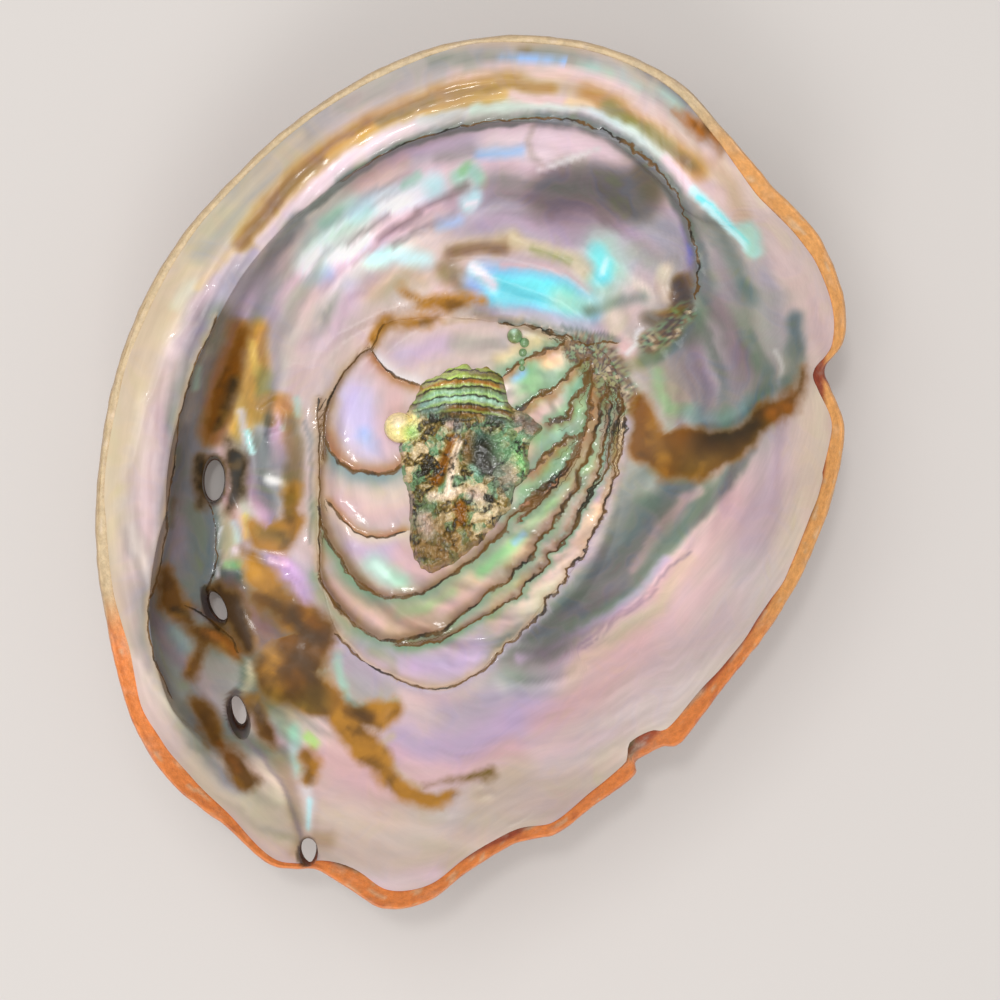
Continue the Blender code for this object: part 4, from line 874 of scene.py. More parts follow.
def insideAt(t, angle, lumps=1.0):   # points of the inside: t is 0 in the middle, 1 at the margin
    rings = shell["rings"]
    toeT, edgeT = shell["toeRing"] / rings, shell["edgeRing"] / rings
    rim = polar(marginCurve, angle) - shell["marginInset"]
    top = around(shell["marginHeight"], angle)
    c, s = np.cos(angle), np.sin(angle)

    def heightAt(r):
        return floorHeight(r * c, r * s, lumps)

    r = reachAt(rim, angle, t) * ringShare(t)
    lift = top - heightAt(around(evenMargin, angle))
    z = heightAt(r) + lift * ease(shell["marginBlend"], 1, t)
    edge, edgeZ, bulge, run = shelfAt(angle)
    toe = edge - run
    toeZ = heightAt(toe)
    rise = edgeZ - toeZ
    bulge = np.minimum(bulge, shell["bulgeOfRise"] * np.maximum(rise, 0))
    width, climb = rim - edge, top - edgeZ
    wall, swell, lip = shell["wallStep"], shell["bulgeStep"], shell["lipStep"]
    near, far = shell["shelfSteps"]
    knots = [toeT, toeT + wall[0] / rings, toeT + swell[0] / rings, edgeT - lip[0] / rings, edgeT,
             edgeT + near[0] / rings, edgeT + far[0] / rings, 1]
    runs = [toe, toe + wall[1] * (run + bulge), edge + bulge, edge + lip[1] * bulge, edge,
            edge + near[1] * width, edge + far[1] * width, rim]
    heights = [toeZ, toeZ + wall[2] * rise, toeZ + swell[1] * rise, edgeZ - lip[2], edgeZ,
               edgeZ + near[2] * climb, edgeZ + far[2] * climb, top]
    return onShelf(t, angle, (r, z), knots, runs, heights, heightAt)


def underFloor(x, y, wall):
    step = shell["slopeStep"]
    across = (floorBase(x + step, y) - floorBase(x - step, y)) / (2 * step)
    up = (floorBase(x, y + step) - floorBase(x, y - step)) / (2 * step)
    return floorBase(x, y) - wall * np.sqrt(1 + across ** 2 + up ** 2)


def outsideAt(t, angle):             # points of the outside, without its relief
    rings = shell["rings"]
    toeT = shell["toeRing"] / rings
    rim = polar(marginCurve, angle)
    top = around(shell["marginHeight"], angle) - shell["marginThickness"]
    wall = np.interp(t, *zip(*shell["wall"]))
    c, s = np.cos(angle), np.sin(angle)

    def heightAt(r, thick=wall):
        return underFloor(r * c, r * s, thick)

    r = reachAt(rim, angle, t) * ringShare(t)
    lift = top - heightAt(around(evenMargin, angle), shell["wall"][-1][1])
    z = heightAt(r) + lift * ease(shell["marginBlend"], 1, t)
    edge, edgeZ, bulge, run = shelfAt(angle)
    toe, thick = edge - run, float(np.interp(toeT, *zip(*shell["wall"])))
    toeZ = heightAt(toe, thick)
    out, down = shell["underShelf"]
    corner = np.minimum(edge + bulge + out * thick, rim - shell["cornerInset"])
    cornerZ = edgeZ - down * thick
    near, far = shell["underSteps"]
    last = shell["underMargin"]
    knots = [toeT, toeT + near[0] / rings, toeT + far[0] / rings,
             toeT + shell["cornerRing"] / rings, toeT + last[0] / rings, 1]
    runs = [toe, toe + near[1] * (corner - toe), toe + far[1] * (corner - toe), corner,
            corner + last[1] * (rim - corner), rim]
    heights = [toeZ, toeZ + near[2] * (cornerZ - toeZ), toeZ + far[2] * (cornerZ - toeZ), cornerZ,
               cornerZ + last[2] * (top - cornerZ), top]
    return onShelf(t, angle, (r, z), knots, runs, heights, heightAt)


def growth(x, y):                    # share of the way from the spire to the margin, and the angle
    dx, dy = x - shell["apex"][0], y - shell["apex"][1]
    turn = np.arctan2(dy, dx)
    edge = np.array(marginCurve) - shell["apex"]
    at = np.arctan2(edge[:, 1], edge[:, 0])
    order = np.argsort(at)
    reach = np.interp(turn, at[order], np.hypot(edge[:, 0], edge[:, 1])[order],
                      period=2 * math.pi)
    return np.hypot(dx, dy) / reach, turn


def outerRelief(x, y):               # how far folds, knobs, spire and encrustation stand out
    side = outerLayer
    away = np.hypot(x - shell["apex"][0], y - shell["apex"][1])
    grown, turn = growth(x, y)
    out = np.zeros(x.shape)
    for place, size in shell["folds"]:
        out += size * np.exp(-((grown - place) / shell["foldWidth"]) ** 2)
    wander = side["ridgeWander"] * mottle(x, y, 26, 31)
    fine = np.abs(np.sin(math.pi * (grown + wander) * side["fineRidges"]))
    out += side["fineHeight"] * (1 - fine) ** 2
    cords = np.sin(turn * side["cords"] + side["cordWander"] * mottle(x, y, 30, 33))
    out += side["cordHeight"] * cords * ease(*side["cordStarts"], grown)
    out *= ease(*side["foldStarts"], grown)
    for cx, cy, radius, high in shell["knobs"]:
        spread = shell["knobSpread"] * radius
        out += high * np.exp(-((x - cx) ** 2 + (y - cy) ** 2) / spread ** 2 / 2)
    out += shell["spireBump"][0] * np.exp(-(away / shell["spireBump"][1]) ** 2)
    back = (math.radians(shell["apexAngle"]) - turn) % (2 * math.pi)
    start, tight, depth = shell["suture"]
    least, more = shell["sutureWidth"]
    for whorl in range(shell["whorls"]):
        spiral = start * np.exp(-tight * (back + 2 * math.pi * whorl))
        out -= depth * np.exp(-((away - spiral) / (least + more * spiral)) ** 2)
    patchy = ease(0.0, 0.2, chalkPatches(x, y))
    first, _, name = cells(x, y, side["crustSize"], 39)
    out += side["crustHeight"] * patchy * np.sqrt(np.clip(1 - first, 0, 1)) * (0.4 + name)
    return out


def chalkPatches(x, y):              # where chalky growth lies on the outside
    return mottle(x, y, 18, 37)


def pixelAt(z):                      # size of a pixel at a height
    return camera["pixel"] * (camera["place"][2] - z)


def photoSpot(points):               # where points are on the photograph
    pixel = pixelAt(points[:, 2])
    return np.stack([camera["middle"] + (points[:, 0] - camera["place"][0]) / pixel,
                     camera["middle"] - (points[:, 1] - camera["place"][1]) / pixel], 1)


def lineDistance(points, spot):
    if len(points) == 1:
        return np.hypot(spot[:, 0] - points[0][0], spot[:, 1] - points[0][1])
    return np.abs(along(points, spot[:, 0], spot[:, 1])[0])


wandering = {"wideReach": 10, "wideSize": 42, "fineReach": 3, "fineSize": 9}  # in pixels
serration = {"least": 0.6, "more": 6, "grows": (430, 560), "size": 5.5}


def warped(spot, amount=1.0):        # spots moved a little, for edges with a natural wander
    x, y = spot[:, 0], spot[:, 1]
    moved = []
    for place, wideSeed, fineSeed in ((x, 3, 7), (y, 5, 9)):
        wide = wandering["wideReach"] * mottle(x, y, wandering["wideSize"], wideSeed)
        fine = wandering["fineReach"] * mottle(x, y, wandering["fineSize"], fineSeed)
        moved.append(place + amount * (wide + fine))
    return np.stack(moved, 1)


def serrated(spot):                  # spots moved so that the layers' edges look broken off
    x, y = spot[:, 0], spot[:, 1]
    amount = serration["least"] + serration["more"] * ease(*serration["grows"], x)
    shift = np.stack([mottle(x, y, serration["size"], seed) for seed in (101, 103)], 1)
    return warped(spot, 0.5) + amount[:, None] * shift


def lay(colour, tone, amount):       # a tone laid over colours, in place
    amount = np.asarray(np.clip(amount, 0, 1))[..., None]
    colour += (np.array(tones[tone], float) - colour) * amount


def layAll(colour, coats):
    for tone, amount in coats:
        lay(colour, tone, amount)


def brush(colour, spot, lines):
    for tone, width, soft, strength, points in lines:
        d = lineDistance(points, spot) / (width * (1 + 0.6 * soft))
        lay(colour, tone, strength * ease(1, 1 - min(soft, 0.98), d))


def linear(colour, depth=1.0):       # screen values 0 to 255 to the shader's linear values
    c = np.clip(colour / 255, 0, 1) ** depth
    return np.where(c <= 0.04045, c / 12.92, ((c + 0.055) / 1.055) ** 2.4)


def socketColour(screen):
    return (*linear(np.array(screen, float)), 1)


def plainColour(tone, count):
    return np.tile(np.array(tones[tone], float), (count, 1))


paint = {"depth": 1.04, "saturation": 1.16}          # painted colours against the tones as named
attributeKinds = {1: ("FLOAT", "value"), 3: ("FLOAT_VECTOR", "vector"), 4: ("FLOAT_COLOR", "color")}


def write(mesh, name, *columns):     # an attribute of one, three or four columns
    kind, key = attributeKinds[len(columns)]
    made = mesh.attributes.new(name, kind, "POINT")
    made.data.foreach_set(key, np.stack(columns, 1).astype(np.float32).ravel())


def writeColour(mesh, name, colour):
    grey = colour.mean(1, keepdims=True)
    colour = grey + paint["saturation"] * (colour - grey)
    write(mesh, name, *linear(colour, paint["depth"]).T, np.ones(len(colour)))


def meshPoints(mesh):                # vertices of a mesh, in millimetres
    co = np.zeros(len(mesh.vertices) * 3)
    mesh.vertices.foreach_get("co", co)
    return co.reshape(-1, 3) / mm


def moveTo(verts, points):
    for vert, point in zip(verts, points):
        vert.co = point


def roundGrid(segments):             # a square grid, and the ring and angle of each vertex
    bm = bmesh.new()
    bmesh.ops.create_grid(bm, x_segments=segments, y_segments=segments, size=1)
    flat = np.array([vert.co[:2] for vert in bm.verts])
    flat = np.round(flat * segments / 2) * 2 / segments
    u, v = flat[:, 0], flat[:, 1]
    return bm, np.maximum(np.abs(u), np.abs(v)), ringAngle(u, v)


def openRim(bm):
    return [edge for edge in bm.edges if edge.is_boundary]


def extrudeRim(bm, rim, shape, middle=(0, 0)):       # one more ring, placed by shape(angle)
    grown = bmesh.ops.extrude_edge_only(bm, edges=rim)["geom"]
    verts = [item for item in grown if isinstance(item, bmesh.types.BMVert)]
    fresh = set(verts)
    place = np.array([vert.co[:2] for vert in verts]) - middle
    moveTo(verts, shape(np.arctan2(place[:, 1], place[:, 0])))
    return [item for item in grown if isinstance(item, bmesh.types.BMEdge)
            and item.verts[0] in fresh and item.verts[1] in fresh]


def closeFan(bm, rim, point):        # the last ring drawn together into one point
    verts = list({vert for edge in rim for vert in edge.verts})
    bmesh.ops.pointmerge(bm, verts=verts, merge_co=Vector(point))


def middleAt(t, angle, depth):       # surface inside the wall, at a share of its thickness
    above, below = insideAt(t, angle, 0.0), outsideAt(t, angle)
    return above + depth * (below - above)


def closeUnder(bm, rim, ends, depth):
    for share in layers["closeRings"]:
        rim = extrudeRim(bm, rim, lambda angle: middleAt(share * ends(angle), angle, depth))
    closeFan(bm, rim, middleAt(np.zeros(1), np.zeros(1), depth)[0])


layers = {
    "bandWidths": [                  # degrees, width of the rim that shows outside the nacre
        (0, 4.6), (22, 3.6), (35, 4.6), (50, 4.0), (60, 2.6), (75, 1.4), (110, 1.4), (160, 1.6),
        (190, 1.8), (202, 2.8), (215, 3.4), (228, 4.0), (242, 1.6), (247, 1.4), (252, 4.4),
        (268, 4.6), (285, 3.4), (300, 5.0), (320, 5.0), (340, 4.6),
    ],
    "closeRings": [0.96, 0.92, 0.88, 0.84, 0.8, 0.75, 0.7, 0.64, 0.55, 0.45, 0.35, 0.25, 0.12],
    "bandRagged": (0.5, 9),          # share of the width, and degrees
    "liningDepth": 0.62, "outerDepth": 0.54,         # shares of the wall's thickness
}


def bandEnds():                      # ring share where the nacre stops, for any angle
    angles = np.radians(np.arange(0, 360, 1.0))
    ts = np.linspace(0.8, 1, 41)
    points = insideAt(*np.meshgrid(ts, angles))
    gap = np.linalg.norm(points - points[:, -1:], axis=2)
    share, size = layers["bandRagged"]
    width = around(layers["bandWidths"], angles)
    width = width * (1 + share * mottle(np.degrees(angles), 0 * angles, size, 41))
    ends = np.array([np.interp(-w, -g, ts) for w, g in zip(width, gap)])
    return lambda angle: np.interp(angle % (2 * math.pi), angles, ends, period=2 * math.pi)


def sideRelief(spot):                # small relief of the inside, by its place on the photograph
    x, y = spot[:, 0], spot[:, 1]
    high = sum(size * mottle(x, y, width, seed) for size, width, seed in nacreLining["ripples"])
    bent = warped(spot, 0.35)
    for size, width, points in ridges:
        high += size * np.exp(-(lineDistance(points, bent) / width) ** 2)
    rough = serrated(spot)
    flat, run = nacreLining["stepRun"]
    fade = nacreLining["stepFade"]
    for *_, points in layerEdgesAndShadeLines:
        d, place = along(points, rough[:, 0], rough[:, 1])
        d = -d                       # the photograph's rows run downwards
        slope = np.where(d > 0, np.exp(-np.maximum(np.abs(d) - flat, 0) / run), 0)
        last = len(points) - 1
        ended = ease(0, fade, place) * ease(last, last - fade, place)
        high += nacreLining["stepHeight"] * ease(*nacreLining["stepEdge"], d) * slope * ended
    zone, first, _, name = grains(spot)
    dome = np.sqrt(np.clip(1 - first ** 2, 0, 1))
    return high + nacreLining["grainHeight"] * zone * dome * (0.4 + name)


nacreLining = {
    "segments": 280, "stepHeight": 0.42, "edgeDrop": 0.5, "underScar": 0.6,
    "ringPlaces": [(0, 0), (0.29, 0.304), (0.7, 0.652), (1, 1)],
    "ripples": [(0.22, 70, 11), (0.10, 24, 13), (0.04, 8, 15)],      # height, size, seed
    "stepEdge": (-1.2, 1.4), "stepRun": (4, 9), "stepFade": 0.7, "grainHeight": 0.5,
    "growthLines": 46, "lineHeight": 0.06, "rippleHeight": 0.25, "outerPart": (0.72, 0.9),
}


def liningBody(ends):
    bm, ring, angle = roundGrid(nacreLining["segments"])
    share = np.interp(ring, *zip(*nacreLining["ringPlaces"]))
    points = insideAt(share * ends(angle), angle, 0.0)
    spot = photoSpot(points)
    x, y = spot[:, 0], spot[:, 1]
    inner = ease(1, 0.97, ring)
    points[:, 2] += sideRelief(spot) * inner
    under = ease(0, 8, insideOutline(muscleScar["outline"], spot))
    points[:, 2] -= nacreLining["underScar"] * under
    grown, _ = growth(points[:, 0], points[:, 1])
    count = grown * nacreLining["growthLines"] + 1.2 * mottle(x, y, 60, 17)
    lines = nacreLining["lineHeight"] * np.sin(2 * math.pi * count)
    outerPart = ease(*nacreLining["outerPart"], ring)
    ripples = nacreLining["rippleHeight"] * mottle(x, y, 30, 19)
    points[:, 2] += (lines * outerPart + ripples * outerPart) * inner
    moveTo(bm.verts, points)
    rim = openRim(bm)
    drop = np.array((0, 0, nacreLining["edgeDrop"]))
    rim = extrudeRim(bm, rim, lambda angle: insideAt(ends(angle), angle, 0.0) - drop)
    closeUnder(bm, rim, ends, layers["liningDepth"])
    return bm


muscleScar = {
    "outline": [                     # pixels, clockwise on the photograph from the upper left
        (385, 323), (412, 317), (450, 315), (500, 320), (535, 326), (562, 332), (598, 346),
        (614, 362), (623, 390), (627, 421), (622, 450), (618, 475), (606, 505), (601, 520),
        (585, 551), (571, 574), (546, 602), (526, 627), (498, 655), (480, 673), (463, 681),
        (445, 688), (427, 689), (412, 685), (392, 677), (374, 670), (361, 661), (347, 646),
        (334, 630), (324, 602), (317, 570), (315, 520), (316, 460), (321, 420), (330, 392),
        (342, 372), (361, 349),
    ],
    "middle": (470, 500), "segments": 264, "lift": 0.22, "edgeDrop": 0.9, "wander": 0.01,
    "edgeRing": 0.988,
    "closeRings": [(0.99, 1.6), (0.85, 2.0), (0.6, 2.2), (0.3, 2.2)],
}


def outlineSpots(outline):           # places on the floor that show at pixels of the photograph
    spot = np.array(outline, float)
    z = np.full(len(spot), 10.0)
    for _ in range(6):
        pixel = pixelAt(z)
        x = camera["place"][0] + (spot[:, 0] - camera["middle"]) * pixel
        y = camera["place"][1] - (spot[:, 1] - camera["middle"]) * pixel
        z = floorHeight(x, y, 0.0)
    return np.stack([x, y], 1)


def insideOutline(outline, spot):    # pixels inside a closed outline, negative outside it
    ring = outline + outline[:1]
    d = along(ring, spot[:, 0], spot[:, 1])[0]
    inside = np.zeros(len(spot), bool)
    for a, b in zip(ring, ring[1:]):
        crosses = (a[1] > spot[:, 1]) != (b[1] > spot[:, 1])
        rise = b[1] - a[1] if b[1] != a[1] else 1e-9
        at = a[0] + (spot[:, 1] - a[1]) * (b[0] - a[0]) / rise
        inside ^= crosses & (spot[:, 0] < at)
    return np.where(inside, np.abs(d), -np.abs(d))


def patchBody(patch, heightAt):      # a patch laid on the floor inside an outline, closed below
    middle = outlineSpots([patch["middle"]])[0]
    edge = smoothClosed(outlineSpots(patch["outline"]) - middle, 6)

    def flat(share, angle):
        turn = (angle % (2 * math.pi)) / (2 * math.pi)
        wander = sum(part * roundNoise(0 * turn, turn, count, seed)
                     for part, count, seed in ((0.6, 48, 97), (0.4, 130, 98)))
        r = share * polar(edge, angle) * (1 + patch["wander"] * (wander - 0.5))
        return middle[0] + r * np.cos(angle), middle[1] + r * np.sin(angle)

    def below(share, angle, depth):
        x, y = flat(share, angle)
        return np.stack([x, y, floorHeight(x, y, 0.0) - depth], 1)

    bm, ring, angle = roundGrid(patch["segments"])
    x, y = flat(ring, angle)
    moveTo(bm.verts, np.stack([x, y, heightAt(x, y, ring)], 1))
    rim = openRim(bm)
    for share, depth in patch["closeRings"]:
        rim = extrudeRim(bm, rim, lambda angle: below(share, angle, depth), middle)
    bottom = float(floorHeight(middle[:1], middle[1:], 0.0)[0]) - depth
    closeFan(bm, rim, (*middle, bottom))
    return bm


def scarBody():
    def heightAt(x, y, ring):
        z = floorHeight(x, y, 0.0)
        spot = photoSpot(np.stack([x, y, z], 1))
        z = z + sideRelief(spot) + muscleScar["lift"]
        return z - muscleScar["edgeDrop"] * ease(muscleScar["edgeRing"], 1.0, ring)

    return patchBody(muscleScar, heightAt)


outerLayer = {
    "segments": 232, "fineRidges": 34, "fineHeight": 0.28, "ridgeWander": 0.02,
    "cords": 46, "cordHeight": 0.16, "cordWander": 3, "cordStarts": (0.2, 0.5),
    "foldStarts": (0.15, 0.45), "crustHeight": 0.55, "crustSize": 2.6,
    "bandSink": 0.3, "rimBulge": 0.35, "rimWander": 0.5,
    "calmRing": 0.95, "calmHeights": (0.5, 3.0), "wornRing": 0.8,
    "sideRings": [0.35, 0.7, 0.92], "bandRings": [0.12, 0.3, 0.5, 0.7, 0.9, 1.06],
}


def outerBody(ends):
    bm, ring, angle = roundGrid(outerLayer["segments"])
    points = outsideAt(ring, angle)
    moveTo(bm.verts, points)
    bmesh.ops.reverse_faces(bm, faces=bm.faces)
    bm.normal_update()
    out = np.array([vert.normal for vert in bm.verts])
    calm = ease(1, outerLayer["calmRing"], ring)
    calm *= ease(*outerLayer["calmHeights"], points[:, 2])
    points = points + out * (outerRelief(points[:, 0], points[:, 1]) * calm)[:, None]
    worn = shell["wornDepth"] * ease(1, outerLayer["wornRing"], ring)
    points[:, 2] = np.maximum(points[:, 2] - worn, 0)
    moveTo(bm.verts, points)
    rim = openRim(bm)
    side = outerLayer

    def wander(angle):
        turn = np.degrees(angle % (2 * math.pi))
        return side["rimWander"] * mottle(turn, 0 * turn, 2.3, 43)

    def sideRing(share):
        def place(angle):
            low, high = outsideAt(np.ones_like(angle), angle), insideAt(np.ones_like(angle), angle)
            p = low + share * (high - low)
            bulge = side["rimBulge"] * math.sin(math.pi * min(share * 1.1, 1)) + 0.6 * wander(angle)
            p[:, 0] += bulge * np.cos(angle)
            p[:, 1] += bulge * np.sin(angle)
            return p
        return place

    def bandRing(share):
        def place(angle):
            p = insideAt(1 + (ends(angle) - 1) * share, angle, 0.0)
            p[:, 2] -= side["bandSink"] * ease(0, 0.3, share) - 0.5 * wander(angle + share)
            return p
        return place

    for share in side["sideRings"]:
        rim = extrudeRim(bm, rim, sideRing(share))
    for share in side["bandRings"]:
        rim = extrudeRim(bm, rim, bandRing(share))
    closeUnder(bm, rim, ends, layers["outerDepth"])
    return bm


def holeCutters():                   # flared oval holes, all in one closed mesh
    bm = bmesh.new()
    for x, y, halfWide, halfLong, turn, lean, flare in shell["holes"]:
        middle = float(floorHeight(np.array([x]), np.array([y]))[0])
        below, funnel = shell["holeBelow"], shell["holeFunnel"]
        made = bmesh.ops.create_cone(bm, cap_ends=True, segments=shell["holeSides"], radius2=1,
                                     radius1=shell["holeTaper"], depth=middle + below)
        verts = made["verts"]
        bmesh.ops.translate(bm, verts=verts, vec=(0, 0, (middle - below) / 2 - funnel))
        for rise, widen in ((funnel, 0.5 + 0.5 * flare), (funnel, flare),
                            (shell["holeAbove"], shell["holeWidening"])):
            faces = {face for vert in verts for face in vert.link_faces}
            lid = max(faces, key=lambda face: face.calc_center_median().z)
            grown = bmesh.ops.extrude_face_region(bm, geom=[lid])
            bmesh.ops.delete(bm, geom=[lid], context="FACES_ONLY")
            ring = [item for item in grown["geom"] if isinstance(item, bmesh.types.BMVert)]
            bmesh.ops.translate(bm, verts=ring, vec=(0, 0, rise))
            bmesh.ops.scale(bm, verts=ring, vec=(widen, widen, 1))
            verts = verts + ring
        size = Matrix.Diagonal((halfWide, halfLong, 1, 1))
        spin = Matrix.Rotation(math.radians(turn), 4, "Z")
        shear = Matrix(((1, 0, lean, 0), (0, 1, 0, 0), (0, 0, 1, 0), (0, 0, 0, 1)))
        matrix = (Matrix.Translation((x, y, middle)) @ shear @ spin @ size
                  @ Matrix.Translation((0, 0, -middle)))
        bmesh.ops.transform(bm, matrix=matrix, verts=verts)
    bmesh.ops.recalc_face_normals(bm, faces=bm.faces)
    return bm


def newObject(name, bm):
    bmesh.ops.scale(bm, vec=(mm, mm, mm), verts=bm.verts)
    bmesh.ops.recalc_face_normals(bm, faces=bm.faces)
    mesh = bpy.data.meshes.new(name)
    bm.to_mesh(mesh)
    bm.free()
    piece = bpy.data.objects.new(name, mesh)
    bpy.context.scene.collection.objects.link(piece)
    return piece


sharpAngle = math.radians(55)        # edges sharper than this stay sharp where holes are cut


def cutHoles(piece, cutter):
    cut = piece.modifiers.new("holes", "BOOLEAN")
    cut.operation = "DIFFERENCE"
    cut.solver = "EXACT"
    cut.object = cutter
    graph = bpy.context.evaluated_depsgraph_get()
    mesh = bpy.data.meshes.new_from_object(piece.evaluated_get(graph))
    mesh.name = piece.name
    piece.modifiers.clear()
    piece.data = mesh
    mesh.shade_smooth()
    mesh.set_sharp_from_angle(angle=sharpAngle)


scarCrust = {
    "outline": [                     # pixels, clockwise on the photograph from the upper left
        (412, 398), (418, 386), (428, 378), (444, 369), (465, 361), (476, 366), (491, 368),
        (504, 378), (511, 398), (520, 409), (538, 418), (544, 428), (533, 440), (530, 458),
        (528, 478), (516, 492), (512, 510), (496, 526), (481, 544), (458, 562), (436, 574),
        (422, 570), (411, 555), (408, 537), (409, 516), (406, 490), (400, 470), (397, 452),
        (399, 436), (404, 414),
    ],
    "middle": (460, 465), "segments": 216,
    "closeRings": [(0.99, 1.2), (0.8, 1.4), (0.4, 1.4)],
    "rise": 1.7, "least": 1.2, "edgeRun": 0.06, "wander": 0.07, "edgeDrop": 0.7,
    "pearls": [                      # x, y, radius, how much of it stands proud
        (-18.6, 11.5, 3.8, 0.5), (9.8, 34, 1.9, 0.35), (12.2, 32.4, 1.2, 0.35),
        (11.8, 30, 1.0, 0.35), (11.6, 27.6, 0.8, 0.35), (11.6, 26.2, 0.8, 0.35),
    ],
    "coarse": 2.4, "small": 1.05, "tiny": 0.55,      # sizes of the crumbs
    "roughness": 3.2, "roughSink": 1.0,
    "capMiddle": 462, "capHalf": 46, "capSag": 9, "capStep": 8.4, "capLean": 0.12,
    "capFoot": (422, 408), "capLeft": (404, 412), "capRight": (516, 506),
    "grooves": (438, 459, 473, 488), "grooveWidth": 1.7, "grooveDepth": 0.55,
    "hollow": [(484, 457)], "hollowWidth": 14, "hollowDepth": 1.9,
    "trench": [(458, 436), (449, 458), (437, 482)], "trenchWidth": 5, "trenchDepth": 1.6,
    "worm": [(460, 441), (453, 466), (448, 492)], "wormWidth": 3.2, "wormHeight": 1.3,
}


def crumbs(x, y):                    # height of the rough crumbs, from about 0 to 1
    bentX, bentY = x + 1.6 * mottle(x, y, 2.6, 51), y + 1.6 * mottle(x, y, 2.6, 53)
    first, _, name = cells(bentX, bentY, scarCrust["coarse"], 55)
    high = 0.9 * np.sqrt(np.clip(1 - first ** 2, 0, 1)) * (0.25 + 0.75 * name)
    first, _, name = cells(bentX + 0.5 * mottle(x, y, 1, 52), bentY, scarCrust["small"], 57)
    high = 0.62 * high + 0.34 * (1 - first) * (0.3 + name)
    first, _, name = cells(x, y, scarCrust["tiny"], 58)
    high += 0.14 * (1 - first) * (0.3 + name)
    return high + 0.35 * mottle(x, y, 5.5, 62)


def capLayers(spot):                 # place in the layers of the smooth cap, and how much cap it is
    px, py = spot[:, 0], spot[:, 1]
    side = px - scarCrust["capMiddle"]
    sag = scarCrust["capSag"] * (side / scarCrust["capHalf"]) ** 2
    wander = 5 * mottle(px, py, 15, 59) + 3 * mottle(px, py, 5, 60)
    cap = ease(*scarCrust["capFoot"], py - scarCrust["capLean"] * side)
    cap = cap * ease(*scarCrust["capLeft"], px) * ease(*scarCrust["capRight"], px)
    return (py - sag + wander) / scarCrust["capStep"], cap


def crustHeight(x, y, ring):
    z = floorHeight(x, y, 0.0)
    spot = photoSpot(np.stack([x, y, z + 4], 1))
    px, py = spot[:, 0], spot[:, 1]
    layer, cap = capLayers(spot)
    bands = 0.55 * np.abs(np.sin(layer * math.pi)) ** 0.7 + 0.3 * (1 - np.mod(layer, 1))
    for groove in scarCrust["grooves"]:
        away = (px - groove - 4 * mottle(px, py, 12, 61)) / scarCrust["grooveWidth"]
        bands -= scarCrust["grooveDepth"] * np.exp(-away ** 2)
    loose = scarCrust["roughness"] * crumbs(x, y) - scarCrust["roughSink"]
    high = loose * (1 - cap) + (bands + 0.25 * mottle(px, py, 4, 63)) * cap
    hollow, trench, worm = (
        np.exp(-(lineDistance(scarCrust[name], spot) / scarCrust[name + "Width"]) ** 2)
        for name in ("hollow", "trench", "worm"))
    high *= 1 - 0.8 * np.clip(hollow + trench + worm, 0, 1)
    high += (scarCrust["wormHeight"] * worm - scarCrust["hollowDepth"] * hollow
             - scarCrust["trenchDepth"] * trench)
    body = np.maximum(lumpHeight(x, y), scarCrust["rise"])
    run = scarCrust["edgeRun"] * (1 + 0.8 * mottle(x, y, 3, 64))
    full = np.maximum(body + high, scarCrust["least"] + 0.9 * mottle(x, y, 1.6, 66))
    return z + full * ease(1, 1 - run * 2, ring) - scarCrust["edgeDrop"] * ease(0.97, 1, ring)


def crustBody():
    bm = patchBody(scarCrust, crustHeight)
    for x, y, radius, proud in scarCrust["pearls"]:
        z = float(floorHeight(np.array([x]), np.array([y]), 0.0)[0]) + proud * radius
        bmesh.ops.create_uvsphere(bm, u_segments=32, v_segments=20, radius=radius,
                                  matrix=Matrix.Translation((x, y, z)))
    return bm


